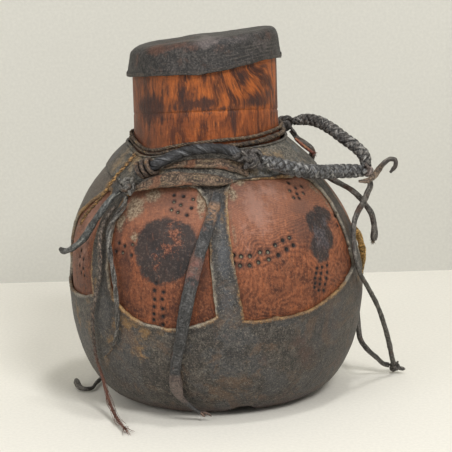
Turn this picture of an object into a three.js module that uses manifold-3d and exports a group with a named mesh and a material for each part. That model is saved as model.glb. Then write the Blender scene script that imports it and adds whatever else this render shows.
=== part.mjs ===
// Milk vessel: a carved wooden flask in a shrunk hide jacket, with a leather cap, a plaited carrying loop
// and thongs.
// Millimetres, +Z up. The origin is the centre of the base on the ground, and the front faces -Y.
import * as THREE from "three";
import { mergeVertices } from "three/addons/utils/BufferGeometryUtils.js";
import Module from "manifold-3d";

const wasm = await Module();
wasm.setup();

// Driving sizes of the wooden flask.
const BELLY_RADIUS = 100;
const BELLY_HEIGHT = 85;
const FOOT_RADIUS = 58;
const NECK_FOOT_HEIGHT = 175;
const NECK_RADIUS = 49.5;
const NECK_FLARE = 1.6;
const NECK_FLARE_HEIGHT = 7;
const NECK_LENGTH = 71;
const RIM_ROUNDING = 1.5;
const WOOD_WALL = 7;
const WOOD_FLOOR = 12;
const GROOVE_RISE = 22;
const GROOVE_WIDTH = 2.2;
const GROOVE_DEPTH = 0.8;
const GROOVE_RISE_TO_FRONT_SHARE = 0.147;
// The neck stands off the middle of the belly, and its rim is cut on the slant.
const NECK_SHIFT = -3.8;
const RISE_TO_RIGHT_SHARE = 0.11;
const RISE_TO_FRONT_SHARE = 0.075;
const LOWER_CURVE_POWER = 2.2;
const LOWER_ROUND_POWER = 0.45;
const UPPER_CURVE_POWER = 2.3;

// Driving sizes of the leather.
const HIDE_THICKNESS = 2.4;
const JACKET_TOP_DROP = 4;
const YOKE_THICKNESS = 1.6;
const YOKE_DROP = 15;
const YOKE_WAVE = 3;
const YOKE_LOBES = 3;
const YOKE_UPSTAND = 2.5;
const LID_THICKNESS = 2.6;
const LID_DROP = 19.5;
const LID_ROUNDING = 7;
const LID_TAPER = 1.5;
const LID_PLAY = 0.3;
const HEM_HEIGHT = 3.6;
const HEM_THICKNESS = 1;

// Clearances: between pieces that fit face to face, and between a cord and what it lies on.
const FIT_GAP = 0.3;
const CORD_GAP = 0.5;
const CUT_OVERRUN = 5;

// Numbers of facets.
const ROUND_FACETS = 40;
const LOWER_RINGS = 9;
const UPPER_RINGS = 9;
const CORNER_STEPS = 4;
const WINDOW_STEPS = 6;
const NOTCH_FACETS = 16;
const CORD_SIDES = 8;
const THIN_CORD_SIDES = 6;
const CORD_STEP_LENGTH = 5.5;
const LOOP_STEPS = 24;
const KNOT_DETAIL = 2;

const RIM_HEIGHT = NECK_FOOT_HEIGHT + NECK_LENGTH;
const GROOVE_HEIGHT = NECK_FOOT_HEIGHT + GROOVE_RISE;
const JACKET_TOP_HEIGHT = NECK_FOOT_HEIGHT - JACKET_TOP_DROP;
const YOKE_EDGE_HEIGHT = NECK_FOOT_HEIGHT - YOKE_DROP;
const SKIRT_HEIGHT = RIM_HEIGHT + FIT_GAP + LID_THICKNESS - LID_DROP;
const WOOD_BOTTOM = HIDE_THICKNESS + FIT_GAP;

const clamp01 = (value) => Math.min(1, Math.max(0, value));
const smooth = (value) => clamp01(value) ** 2 * (3 - 2 * clamp01(value));
const radians = THREE.MathUtils.degToRad;

// A point at a distance from the axis, degrees round from the front towards the right, and a height.
function polar(radius, degrees, height) {
  const angle = radians(degrees);
  return new THREE.Vector3(radius * Math.sin(angle), -radius * Math.cos(angle), height);
}

// Moves a point of the true round form to where the hand-carved one has it: the neck stands to the left,
// and the rim is on the slant.
function carve(point) {
  const climb = smooth((point.z - BELLY_HEIGHT) / (NECK_FOOT_HEIGHT - BELLY_HEIGHT));
  const slant = clamp01((point.z - NECK_FOOT_HEIGHT) / (SKIRT_HEIGHT - NECK_FOOT_HEIGHT));
  const tip = clamp01((point.z - SKIRT_HEIGHT) / (RIM_HEIGHT - SKIRT_HEIGHT));
  point.z += RISE_TO_RIGHT_SHARE * point.x * slant - RISE_TO_FRONT_SHARE * point.y * tip;
  point.x += NECK_SHIFT * climb;
  return point;
}

// Solids: a closed geometry as a manifold, and a manifold as a geometry.
function solidOf(geometry) {
  const bare = new THREE.BufferGeometry();
  const flat = geometry.index ? geometry.toNonIndexed() : geometry;
  bare.setAttribute("position", flat.getAttribute("position"));
  const merged = mergeVertices(bare);
  const corners = Array.from(merged.index.array);
  const kept = [];
  for (let i = 0; i < corners.length; i += 3) {
    const [a, b, c] = corners.slice(i, i + 3);
    if (a !== b && b !== c && c !== a) kept.push(a, b, c);
  }
  const build = (triangles) =>
    new wasm.Manifold(
      new wasm.Mesh({
        numProp: 3,
        vertProperties: new Float32Array(merged.attributes.position.array),
        triVerts: new Uint32Array(triangles),
      }),
    );
  const solid = build(kept);
  return solid.volume() > 0 ? solid : build(kept.reverse());
}

function geometryOf(solid) {
  const mesh = solid.getMesh();
  const geometry = new THREE.BufferGeometry();
  geometry.setAttribute("position", new THREE.BufferAttribute(new Float32Array(mesh.vertProperties), 3));
  geometry.setIndex(new THREE.BufferAttribute(new Uint32Array(mesh.triVerts), 1));
  geometry.computeVertexNormals();
  return geometry;
}

// A profile of [radius, height] pairs turned round the upright axis, then carved.
function turned(profile, reshape = (point) => point) {
  const lathe = new THREE.LatheGeometry(
    profile.map(([radius, height]) => new THREE.Vector2(radius, height)),
    ROUND_FACETS,
  );
  lathe.rotateX(Math.PI / 2);
  const position = lathe.getAttribute("position");
  const point = new THREE.Vector3();
  for (let i = 0; i < position.count; i++) {
    point.fromBufferAttribute(position, i);
    carve(reshape(point));
    position.setXYZ(i, point.x, point.y, point.z);
  }
  return solidOf(lathe);
}

// The outline moved outwards by a distance, square to itself; the first point stays on the axis.
function offsetOutline(outline, distance) {
  const normal = ([r0, z0], [r1, z1]) => {
    const length = Math.hypot(r1 - r0, z1 - z0);
    return [(z1 - z0) / length, -(r1 - r0) / length];
  };
  return outline.map(([radius, height], i) => {
    const before = normal(outline[Math.max(0, i - 1)], outline[Math.max(1, i)]);
    const last = outline.length - 1;
    const after = normal(outline[Math.min(i, last - 1)], outline[Math.min(i + 1, last)]);
    const sum = [before[0] + after[0], before[1] + after[1]];
    const reach = (2 * distance) / (sum[0] ** 2 + sum[1] ** 2);
    return [i === 0 ? 0 : radius + sum[0] * reach, height + sum[1] * reach];
  });
}

// The radius that an outline has at a height.
function radiusAt(outline, height) {
  for (let i = 2; i < outline.length; i++) {
    const [r0, z0] = outline[i - 1];
    const [r1, z1] = outline[i];
    if (height <= z1) return r0 + ((r1 - r0) * clamp01((height - z0) / (z1 - z0)));
  }
  return outline[outline.length - 1][0];
}

// The wood's outer outline below the neck, from the middle of the base up to the neck's foot.
function bellyOutline() {
  const outline = [[0, WOOD_BOTTOM], [FOOT_RADIUS, WOOD_BOTTOM]];
  for (let i = 1; i <= LOWER_RINGS; i++) {
    const below = clamp01(Math.cos(((i / LOWER_RINGS) * Math.PI) / 2));
    const height = BELLY_HEIGHT - (BELLY_HEIGHT - WOOD_BOTTOM) * below;
    const fullness = (1 - below ** LOWER_CURVE_POWER) ** LOWER_ROUND_POWER;
    outline.push([FOOT_RADIUS + (BELLY_RADIUS - FOOT_RADIUS) * fullness, height]);
  }
  const neckFootRadius = NECK_RADIUS + NECK_FLARE;
  for (let i = 1; i <= UPPER_RINGS; i++) {
    const climb = Math.sin(((i / UPPER_RINGS) * Math.PI) / 2);
    const height = BELLY_HEIGHT + (NECK_FOOT_HEIGHT - BELLY_HEIGHT) * climb;
    const fullness = 1 - climb ** UPPER_CURVE_POWER;
    outline.push([neckFootRadius + (BELLY_RADIUS - neckFootRadius) * fullness, height]);
  }
  return outline;
}

// The neck's radius, which widens a little towards its foot.
function neckRadiusAt(height) {
  return NECK_RADIUS + NECK_FLARE * Math.exp((NECK_FOOT_HEIGHT - height) / NECK_FLARE_HEIGHT);
}

const BELLY = bellyOutline();
const HIDE = offsetOutline(BELLY, FIT_GAP + HIDE_THICKNESS);

// The wooden flask, hollow, with a scored line round its neck.
function flask() {
  const neckHeights = [
    NECK_FOOT_HEIGHT + NECK_FLARE_HEIGHT,
    GROOVE_HEIGHT - GROOVE_WIDTH / 2,
    GROOVE_HEIGHT,
    GROOVE_HEIGHT + GROOVE_WIDTH / 2,
    SKIRT_HEIGHT,
    RIM_HEIGHT - RIM_ROUNDING,
  ];
  const neck = neckHeights.map((height) => [
    neckRadiusAt(height) - (height === GROOVE_HEIGHT ? GROOVE_DEPTH : 0),
    height,
  ]);
  const smoothNeck = neck.filter(([, height]) => height !== GROOVE_HEIGHT);
  const inside = offsetOutline([...BELLY, ...smoothNeck], -WOOD_WALL);
  const floorHeight = WOOD_BOTTOM + WOOD_FLOOR;
  const cavity = inside.filter(([radius, height]) => radius > 0 && height > floorHeight + RIM_ROUNDING);
  const lip = [neckRadiusAt(RIM_HEIGHT) - RIM_ROUNDING, RIM_HEIGHT];
  const innerLip = [neckRadiusAt(RIM_HEIGHT) - WOOD_WALL + RIM_ROUNDING, RIM_HEIGHT];
  const scored = (point) => {
    if (Math.abs(point.z - GROOVE_HEIGHT) > GROOVE_WIDTH) return point;
    const slant = (point.z - NECK_FOOT_HEIGHT) / (SKIRT_HEIGHT - NECK_FOOT_HEIGHT);
    point.z -= GROOVE_RISE_TO_FRONT_SHARE * point.y + RISE_TO_RIGHT_SHARE * point.x * slant;
    return point;
  };
  const profile = [
    ...BELLY,
    ...neck,
    lip,
    innerLip,
    ...cavity.reverse(),
    [radiusAt(inside, floorHeight), floorHeight],
    [0, floorHeight],
  ];
  return turned(profile, scored);
}

// Openings in the jacket: degrees round, the sill at its left, middle and right, and the head at its left and
// right. Heights are shares of the height of the neck's foot.
const WINDOWS = [
  { from: -45, to: 0, sillShares: [0.48, 0.385, 0.435], headShares: [0.91, 0.91] },
  { from: 8, to: 68, sillShares: [0.415, 0.425, 0.535], headShares: [0.93, 0.9] },
  { from: 77, to: 126, sillShares: [0.5, 0.42, 0.47], headShares: [0.9, 0.89] },
  { from: 135, to: 184, sillShares: [0.46, 0.4, 0.45], headShares: [0.9, 0.91] },
  { from: 193, to: 244, sillShares: [0.44, 0.39, 0.48], headShares: [0.9, 0.88] },
  { from: 266, to: 306, sillShares: [0.48, 0.45, 0.48], headShares: [0.68, 0.91] },
];
const WIDEST_WINDOW_DEGREES = 60;
const WINDOW_CORNER = 20;
const WINDOW_FLARE = 4;
const NOTCH_DEGREES = 12;
const NOTCH_WIDTH = 19;
const NOTCH_HEIGHT = 3.4;
const NOTCH_INSIDE_SHARE = 0.7;

// A window's outline, laid flat: round the belly, and up.
function windowShape({ from, to, sillShares, headShares }) {
  const left = radians(from) * BELLY_RADIUS;
  const right = radians(to) * BELLY_RADIUS;
  const middle = (left + right) / 2;
  const [sillLeft, sillMiddle, sillRight] = sillShares.map((share) => share * NECK_FOOT_HEIGHT);
  const [headLeft, headRight] = headShares.map((share) => share * NECK_FOOT_HEIGHT);
  const [shoulderLeft, shoulderRight] = [headLeft - WINDOW_CORNER, headRight - WINDOW_CORNER];
  const fall = ((headRight - headLeft) / (right - left)) * WINDOW_CORNER;
  const shape = new THREE.Shape();
  shape.moveTo(left + WINDOW_FLARE, sillLeft);
  shape.quadraticCurveTo(middle, 2 * sillMiddle - (sillLeft + sillRight) / 2, right, sillRight);
  shape.quadraticCurveTo(right - WINDOW_FLARE, (sillRight + shoulderRight) / 2, right, shoulderRight);
  shape.quadraticCurveTo(right, headRight, right - WINDOW_CORNER, headRight - fall);
  shape.lineTo(left + WINDOW_CORNER, headLeft + fall);
  shape.quadraticCurveTo(left, headLeft, left, shoulderLeft);
  const hipLeft = (sillLeft + shoulderLeft) / 2;
  shape.quadraticCurveTo(left - WINDOW_FLARE, hipLeft, left + WINDOW_FLARE, sillLeft);
  return shape;
}

// A flat outline wrapped round the axis and made thick from one radius to another.
function wrappedPrism(shape, innerRadius, outerRadius) {
  const outline = shape.getPoints(WINDOW_STEPS).slice(0, -1);
  const place = (point, radius) =>
    polar(radius, THREE.MathUtils.radToDeg(point.x / BELLY_RADIUS), point.y).toArray();
  const faces = THREE.ShapeUtils.triangulateShape(outline, []);
  const corners = [];
  const face = (a, b, c) => corners.push(...a, ...b, ...c);
  for (const [a, b, c] of faces) {
    face(...[a, b, c].map((i) => place(outline[i], outerRadius)));
    face(...[c, b, a].map((i) => place(outline[i], innerRadius)));
  }
  outline.forEach((point, i) => {
    const next = outline[(i + 1) % outline.length];
    const [a, b] = [place(point, innerRadius), place(next, innerRadius)];
    const [c, d] = [place(next, outerRadius), place(point, outerRadius)];
    face(a, b, c);
    face(a, c, d);
  });
  const geometry = new THREE.BufferGeometry();
  geometry.setAttribute("position", new THREE.Float32BufferAttribute(corners, 3));
  return solidOf(geometry);
}

// The jacket: one hide shrunk over the flask, with windows that leave straps between them and a worn notch at
// the base. A window's cutter is flat between its corners, so it starts further out than the hide.
function jacket() {
  const covered = BELLY.filter(([, height]) => height <= JACKET_TOP_HEIGHT);
  const outside = offsetOutline(covered, FIT_GAP + HIDE_THICKNESS);
  const inside = offsetOutline(covered, FIT_GAP);
  let hide = turned([...outside, ...inside.reverse()]);
  const innerRadius = NECK_RADIUS - CUT_OVERRUN;
  const outerRadius = (BELLY_RADIUS + CUT_OVERRUN) / Math.cos(radians(WIDEST_WINDOW_DEGREES / 2));
  for (const opening of WINDOWS) {
    hide = hide.subtract(wrappedPrism(windowShape(opening), innerRadius, outerRadius));
  }
  const notch = new THREE.CylinderGeometry(NOTCH_WIDTH / 2, NOTCH_WIDTH / 2, BELLY_RADIUS, NOTCH_FACETS);
  notch.translate(0, BELLY_RADIUS / 2 + FOOT_RADIUS * NOTCH_INSIDE_SHARE, 0);
  notch.scale(1, -1, NOTCH_HEIGHT / (NOTCH_WIDTH / 2));
  notch.rotateZ(radians(NOTCH_DEGREES));
  return hide.subtract(solidOf(notch));
}

// The yoke: a leather collar over the top of the jacket, with a wavy lower edge and an upstand round the
// neck's foot. It lies a fit gap above the jacket.
function yoke() {
  const covered = BELLY.filter(([, height]) => height >= YOKE_EDGE_HEIGHT);
  covered.push([neckRadiusAt(NECK_FOOT_HEIGHT + YOKE_UPSTAND), NECK_FOOT_HEIGHT + YOKE_UPSTAND]);
  const under = 2 * FIT_GAP + HIDE_THICKNESS;
  const aligned = [[0, covered[0][1]], ...covered];
  const inside = offsetOutline(aligned, under).slice(1);
  const outside = offsetOutline(aligned, under + YOKE_THICKNESS).slice(1);
  const [edge, above] = [covered[0], covered[1]];
  const length = Math.hypot(edge[0] - above[0], edge[1] - above[1]);
  const spread = (edge[0] - above[0]) / length;
  const drop = (above[1] - edge[1]) / length;
  const wave = (point) => {
    const share = clamp01((NECK_FOOT_HEIGHT - point.z) / (NECK_FOOT_HEIGHT - YOKE_EDGE_HEIGHT));
    const push = -YOKE_WAVE * share * Math.sin(YOKE_LOBES * Math.atan2(point.x, -point.y));
    const radius = Math.hypot(point.x, point.y);
    point.x *= (radius + push * spread) / radius;
    point.y *= (radius + push * spread) / radius;
    point.z -= push * drop;
    return point;
  };
  return turned([...outside, ...inside.reverse(), outside[0]], wave);
}

// The cap of moulded leather, sitting on the slanted rim.
function cap() {
  const inner = NECK_RADIUS + LID_PLAY;
  const outer = inner + LID_THICKNESS;
  const underside = RIM_HEIGHT + FIT_GAP;
  const top = underside + LID_THICKNESS;
  const shoulder = Array.from({ length: CORNER_STEPS + 1 }, (_, step) => {
    const angle = (step / CORNER_STEPS) * (Math.PI / 2);
    const radius = outer - LID_TAPER - LID_ROUNDING * (1 - Math.sin(angle));
    return [radius, top - LID_ROUNDING * (1 - Math.cos(angle))];
  });
  return turned([
    [0, top],
    ...shoulder,
    [outer, SKIRT_HEIGHT],
    [inner, SKIRT_HEIGHT],
    [inner, underside - RIM_ROUNDING],
    [inner - RIM_ROUNDING, underside],
    [0, underside],
  ]);
}

// The hem: a strip sewn round the cap's lower edge.
function hem() {
  const inner = NECK_RADIUS + LID_PLAY + LID_THICKNESS + FIT_GAP;
  const profile = [
    [inner, SKIRT_HEIGHT],
    [inner + HEM_THICKNESS / 2, SKIRT_HEIGHT],
    [inner + HEM_THICKNESS, SKIRT_HEIGHT + HEM_HEIGHT / 4],
    [inner + HEM_THICKNESS, SKIRT_HEIGHT + (HEM_HEIGHT * 3) / 4],
    [inner + HEM_THICKNESS / 2, SKIRT_HEIGHT + HEM_HEIGHT],
    [inner, SKIRT_HEIGHT + HEM_HEIGHT],
  ];
  return turned([...profile, profile[0]]);
}

// The smooth curve through a route's points, and the number of steps it is drawn in.
const smoothPath = (route) => new THREE.CatmullRomCurve3(route, false, "centripetal");
const stepsAlong = (path) => Math.ceil(path.getLength() / CORD_STEP_LENGTH);

// A round cord along a route.
function cord(route, diameter, sides = CORD_SIDES, steps = stepsAlong(smoothPath(route))) {
  const section = new THREE.Shape(
    Array.from({ length: sides }, (_, i) => {
      const angle = (i / sides) * 2 * Math.PI;
      return new THREE.Vector2(Math.cos(angle), Math.sin(angle)).multiplyScalar(diameter / 2);
    }),
  );
  const along = { steps, extrudePath: smoothPath(route), bevelEnabled: false };
  return solidOf(new THREE.ExtrudeGeometry(section, along));
}

// The direction square to the hide at a point.
function outwardAt(point) {
  const lower = radiusAt(HIDE, point.z - HIDE_THICKNESS);
  const upper = radiusAt(HIDE, point.z + HIDE_THICKNESS);
  const outward = new THREE.Vector3(point.x, point.y, 0).setLength(2 * HIDE_THICKNESS);
  outward.z = lower - upper;
  return outward.normalize();
}

// A flat strap along a route, its broad side lying to the hide.
const STRAP_SECTION_SHARES = [
  [1, 0.35],
  [0.8, 1],
  [-0.8, 1],
  [-1, 0.35],
  [-1, -0.35],
  [-0.8, -1],
  [0.8, -1],
  [1, -0.35],
];
function strap(route, width, thickness) {
  const path = smoothPath(route);
  const steps = stepsAlong(path);
  const rings = Array.from({ length: steps + 1 }, (_, i) => {
    const centre = path.getPointAt(i / steps);
    const along = path.getTangentAt(i / steps);
    const out = outwardAt(centre);
    out.addScaledVector(along, -out.dot(along)).normalize();
    const across = new THREE.Vector3().crossVectors(along, out);
    return STRAP_SECTION_SHARES.map(([side, face]) =>
      centre
        .clone()
        .addScaledVector(across, (side * width) / 2)
        .addScaledVector(out, (face * thickness) / 2),
    );
  });
  return skinned(rings);
}

// Rings of points joined one to the next, with a flat end on each side.
function skinned(rings) {
  const corners = [];
  const face = (a, b, c) => corners.push(...a.toArray(), ...b.toArray(), ...c.toArray());
  const count = rings[0].length;
  for (let i = 0; i < rings.length - 1; i++) {
    for (let j = 0; j < count; j++) {
      const k = (j + 1) % count;
      face(rings[i][j], rings[i][k], rings[i + 1][k]);
      face(rings[i][j], rings[i + 1][k], rings[i + 1][j]);
    }
  }
  const last = rings[rings.length - 1];
  for (let j = 1; j < count - 1; j++) {
    face(rings[0][0], rings[0][j + 1], rings[0][j]);
    face(last[0], last[j], last[j + 1]);
  }
  const geometry = new THREE.BufferGeometry();
  geometry.setAttribute("position", new THREE.Float32BufferAttribute(corners, 3));
  return solidOf(geometry);
}

// The least distance between the turns of a winding, measured on its points.
function leastGap(points, diameter, apart) {
  let least = Infinity;
  for (let i = 0; i < points.length; i++) {
    for (let j = i + apart; j < points.length; j++) {
      least = Math.min(least, points[i].distanceTo(points[j]));
    }
  }
  return least - diameter;
}

// The lashing: a thin cord wound round the foot of the neck.
const LASHING_DIAMETER = 2.8;
const LASHING_TURNS = 2;
const LASHING_START_DEGREES = 100;
const LASHING_PITCH = 3.6;
const LASHING_RISE = 4.6;
const LASHING_RISE_TO_RIGHT_SHARE = 0.02;
function lashing() {
  const steps = LASHING_TURNS * LOOP_STEPS;
  const points = Array.from({ length: steps + 1 }, (_, i) => {
    const turn = i / LOOP_STEPS;
    const height = NECK_FOOT_HEIGHT + LASHING_RISE + LASHING_PITCH * turn;
    const reach = (CORD_GAP + LASHING_DIAMETER / 2) / Math.cos(Math.PI / LOOP_STEPS);
    const radius = neckRadiusAt(height - LASHING_DIAMETER) + reach;
    const point = carve(polar(radius, LASHING_START_DEGREES + 360 * turn, height));
    point.z += LASHING_RISE_TO_RIGHT_SHARE * point.x;
    return point;
  });
  console.log("lashing, least gap", leastGap(points, LASHING_DIAMETER, LOOP_STEPS / 2).toFixed(2), "mm");
  return cord(points, LASHING_DIAMETER, THIN_CORD_SIDES, steps);
}

// Routes over the hide: degrees round, distance outside the hide, and height.
function overHide(points) {
  return points.map(([degrees, outside, height]) => {
    const radius = radiusAt(HIDE, height) + outside;
    return carve(polar(radius, degrees, height));
  });
}

// The carrying loop: a twisted rope along the front of the neck, held at the left by a wrapping, and a
// plaited loop that swings on the knots at its two ends.
const ROPE_DIAMETER = 7.6;
const ROPE_ROUTE = [
  [-29.5, 16.8, 169.9],
  [-24, 16.8, 172.9],
  [-18.2, 15.2, 175.6],
  [-12.7, 14.4, 177.6],
  [-3.9, 13, 179.4],
  [5.4, 12.5, 180],
  [12.7, 12.8, 179.3],
];
const WRAP_DIAMETER = 2.4;
const WRAP_TURNS = 3;
const WRAP_PITCH = 4.2;
const WRAP_START_SHARE = 0.03;
const BRAID_DIAMETER = 9.6;
const FRONT_KNOT_PLACE = [25.2, 14.7, 174.4];
const REAR_KNOT_PLACE = [113.5, 7.2, 182.4];
const TIP_KNOT_PLACE = [81.3, 34, 155];
const LEFT_KNOT_PLACE = [-39, 11.6, 158.4];
const TETHER_KNOT_PLACE = [99.6, 51.7, 5];
const KNOT_RADIUS = 6.2;
const TETHER_KNOT_RADIUS = 4;
const FRONT_BRAID_ROUTE = [
  [37.5, 13.2, 169.2],
  [44.4, 13.2, 165.6],
  [51.9, 13.7, 162.3],
  [61.3, 14.3, 159.5],
  [71.5, 17, 157.4],
];
const REAR_BRAID_ROUTE = [
  [105.4, 19, 184.7],
  [99.5, 26.4, 183.7],
  [93.9, 34.3, 179.9],
  [89.4, 39.7, 175.4],
  [85.8, 41.6, 169.8],
  [83.6, 41.2, 164.6],
];

const [frontKnotCentre, rearKnotCentre, tipKnotCentre, leftKnotCentre, tetherKnotCentre] = overHide([
  FRONT_KNOT_PLACE,
  REAR_KNOT_PLACE,
  TIP_KNOT_PLACE,
  LEFT_KNOT_PLACE,
  TETHER_KNOT_PLACE,
]);

// A knot pulled tight: a round lump.
function knot(centre, radius = KNOT_RADIUS) {
  const lump = new THREE.IcosahedronGeometry(radius, KNOT_DETAIL);
  lump.translate(centre.x, centre.y, centre.z);
  return solidOf(lump);
}

// The place just clear of a knot, on the way to a point.
function beside(knotCentre, point, radius = KNOT_RADIUS) {
  return point.clone().sub(knotCentre).setLength(radius + FIT_GAP).add(knotCentre);
}

// A route over the hide that starts beside one knot, and one that also ends beside another.
function leaving(knotCentre, route) {
  const points = overHide(route);
  return [beside(knotCentre, points[0]), ...points];
}
function joining(fromCentre, route, toCentre, toRadius = KNOT_RADIUS) {
  const points = leaving(fromCentre, route);
  return [...points, beside(toCentre, points[points.length - 1], toRadius)];
}

function ropeRoute() {
  const points = overHide(ROPE_ROUTE);
  return [...points, beside(frontKnotCentre, points[points.length - 1])];
}

// The wrapping that holds the rope's left end.
function wrapping() {
  const path = smoothPath(ropeRoute());
  const length = path.getLength();
  const radius = ROPE_DIAMETER / 2 + CORD_GAP + WRAP_DIAMETER / 2;
  const steps = WRAP_TURNS * LOOP_STEPS;
  const points = Array.from({ length: steps + 1 }, (_, i) => {
    const turn = i / LOOP_STEPS;
    const share = WRAP_START_SHARE + (turn * WRAP_PITCH) / length;
    const along = path.getTangentAt(share);
    const side = new THREE.Vector3(0, 0, 1).cross(along).normalize();
    const up = new THREE.Vector3().crossVectors(along, side);
    const angle = 2 * Math.PI * turn;
    return path
      .getPointAt(share)
      .addScaledVector(side, radius * Math.cos(angle))
      .addScaledVector(up, radius * Math.sin(angle));
  });
  console.log("wrapping, least gap", leastGap(points, WRAP_DIAMETER, LOOP_STEPS / 2).toFixed(2), "mm");
  return cord(points, WRAP_DIAMETER, THIN_CORD_SIDES, steps);
}

// The rolls: the yoke's leather folded over along its front left edge. Their places are degrees round, and
// shares of the height of the neck's foot.
const ROLL_THICKNESS = 3.4;
const LOWER_ROLL_WIDTH = 11;
const LOWER_ROLL_CLEARANCE = 1.4;
const LOWER_ROLL_SHARES = [
  [-34, 0.899],
  [-30.2, 0.909],
  [-24.2, 0.919],
  [-12.7, 0.927],
  [-1.7, 0.926],
  [8, 0.92],
];
const UPPER_ROLL_WIDTH = 7.4;
const UPPER_ROLL_CLEARANCE = 0.4;
const UPPER_ROLL_SHARES = [
  [-18, 0.967],
  [-14.3, 0.975],
  [-8, 0.98],
  [-1.6, 0.981],
  [4.9, 0.978],
  [11, 0.969],
  [16, 0.954],
];

// A roll lying on the yoke, clear of it by a clearance.
function roll(shares, width, clearance) {
  const yokeOutside = 2 * FIT_GAP + HIDE_THICKNESS + YOKE_THICKNESS;
  const middle = offsetOutline(BELLY, yokeOutside + clearance + ROLL_THICKNESS / 2);
  const route = shares.map(([degrees, share]) => {
    const height = share * NECK_FOOT_HEIGHT;
    return carve(polar(radiusAt(middle, height), degrees, height));
  });
  return strap(route, width, ROLL_THICKNESS);
}

// The thongs. Flat ones have a width and a thickness, round ones a diameter.
const FRONT_THONG_WIDTH = 9.5;
const FRONT_THONG_THICKNESS = 3.2;
const FRONT_THONG_ROUTE = [
  [4.5, 4, 154.5],
  [3.5, 3, 150.7],
  [0.5, 2.5, 140.1],
  [-3.1, 2.4, 126.7],
  [-6.3, 2.4, 113.1],
  [-9.3, 2.4, 95.1],
  [-11.9, 2.5, 75.1],
  [-13.9, 2.6, 57.6],
  [-15.9, 2.8, 45.1],
  [-17.1, 3.2, 31.8],
  [-16.6, 4, 20.4],
  [-13, 5.5, 12.4],
  [-7.9, 8, 5.4],
];
const LEFT_STUB_DIAMETER = 5.2;
const LEFT_STUB_ROUTE = [
  [-47.4, 7.4, 149.6],
  [-49.5, 7.5, 142.7],
  [-52.1, 7, 135.8],
  [-55, 5.4, 129.4],
  [-59.3, 4.4, 122.4],
  [-65.4, 4.6, 116],
  [-71.5, 6, 111.5],
];
const LEFT_FLAT_WIDTH = 4.6;
const LEFT_FLAT_THICKNESS = 2.4;
const LEFT_FLAT_ROUTE = [
  [-40.6, 3.2, 146.4],
  [-43.6, 2, 138.3],
  [-45.2, 2, 130.9],
  [-44.9, 2, 123.7],
  [-42.8, 2, 114.4],
  [-40.2, 2, 99.9],
  [-39.2, 2, 84.7],
  [-39.3, 2, 71],
  [-40.6, 2.1, 60.1],
  [-43.5, 2.3, 50.6],
];
const LEFT_CORD_DIAMETER = 3.6;
const LEFT_CORD_ROUTE = [
  [-45.6, 2.7, 144.5],
  [-48, 2.6, 140],
  [-49.6, 2.6, 133.7],
  [-49.8, 2.6, 125.7],
  [-49, 2.6, 118.5],
  [-48, 2.5, 111],
  [-47.6, 2.5, 103.4],
  [-48, 2.5, 95.5],
  [-50, 2.8, 84],
  [-52.6, 2.8, 72.6],
  [-54, 2.9, 56],
  [-55.7, 3.2, 39],
  [-56, 4.5, 24],
  [-50.6, 14, 12],
  [-41.4, 31.4, 4.6],
  [-31.5, 50.5, 2.4],
];
const SHOULDER_CORD_DIAMETER = 2.4;
const SHOULDER_CORD_ROUTE = [
  [-52.4, 5.2, 175.2],
  [-52.6, 5.2, 170.5],
  [-53.6, 5.4, 164],
  [-54.6, 5.8, 157.1],
  [-57.5, 3.4, 149.3],
  [-61.4, 1.9, 143],
  [-64.8, 1.8, 137.2],
  [-67, 1.8, 132.2],
  [-68.5, 1.8, 126.9],
];
const RIGHT_STUB_DIAMETER = 5;
const RIGHT_STUB_ROUTE = [
  [87, 0.4, 153.5],
  [86.9, 1.8, 149.5],
  [86.9, 5.4, 145],
  [87, 9.8, 140.5],
  [87.2, 12.3, 135.2],
  [87.3, 13.5, 128.7],
  [87.4, 14.3, 122.2],
  [87.4, 12.8, 115.1],
  [87.4, 11.5, 109.4],
  [87.4, 9.3, 103.7],
];
const TETHER_DIAMETER = 4.4;
const TETHER_ROUTE = [
  [79.4, 28.5, 145.5],
  [78.8, 23, 140.5],
  [77.9, 16.5, 134.5],
  [77, 9.5, 128.5],
  [75.2, 4.6, 122.5],
  [69.9, 2.8, 115],
  [66.1, 2.6, 103],
  [67.2, 3, 91],
  [75.9, 5, 75],
  [84.4, 11.2, 58],
  [90, 19.5, 41],
  [93.8, 29.7, 25],
  [96.2, 38.5, 14.5],
];
const REAR_RIGHT_DIAMETER = 4.6;
const REAR_RIGHT_ROUTE = [
  [109, 8.8, 172.5],
  [105.6, 9.2, 169],
  [106.5, 9.4, 165.5],
  [110.5, 9, 161.5],
  [117.2, 6.5, 155.5],
  [123, 3.6, 146],
  [125, 3.2, 134],
  [124, 3.2, 120],
  [122, 3.2, 104],
  [118, 3.2, 86],
  [113, 3.2, 68],
  [107, 3.4, 52],
  [101, 5, 38],
  [99.5, 10, 27],
  [99.8, 20, 18.5],
  [99.9, 31, 12.2],
  [99.7, 40.5, 7.6],
];
const REAR_LEFT_DIAMETER = 3.4;
const REAR_LEFT_ROUTE = [
  [-129, 2.5, 153.5],
  [-127, 2.3, 142],
  [-124, 2.2, 124],
  [-121, 2.2, 100],
  [-120, 2.2, 80],
  [-120, 2.2, 60],
  [-121, 2.4, 42],
  [-122, 4, 26],
  [-122.5, 8, 12],
  [-120, 15, 4.5],
  [-112, 19, 2.6],
  [-102, 20, 2.4],
  [-96, 24, 2.4],
  [-96.5, 30, 2.4],
  [-101, 34, 2.6],
  [-104, 34, 4.5],
];
const FRAYED_TAB_WIDTH = 7;
const FRAYED_TAB_THICKNESS = 2.6;
const FRAYED_TAB_ROUTE = [
  [99.5, 6, 174.5],
  [98.5, 5.6, 171],
  [97.5, 5.6, 167.5],
  [96.5, 5.8, 164],
  [96, 6.4, 160.5],
];
const TAIL_DIAMETER = 3.6;
const TAIL_ROUTE = [
  [80.5, 49.4, 159.4],
  [80.9, 58.7, 163.5],
  [81.1, 60.1, 161.9],
  [81, 54.1, 156.9],
  [80.8, 48.2, 153.8],
];

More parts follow.
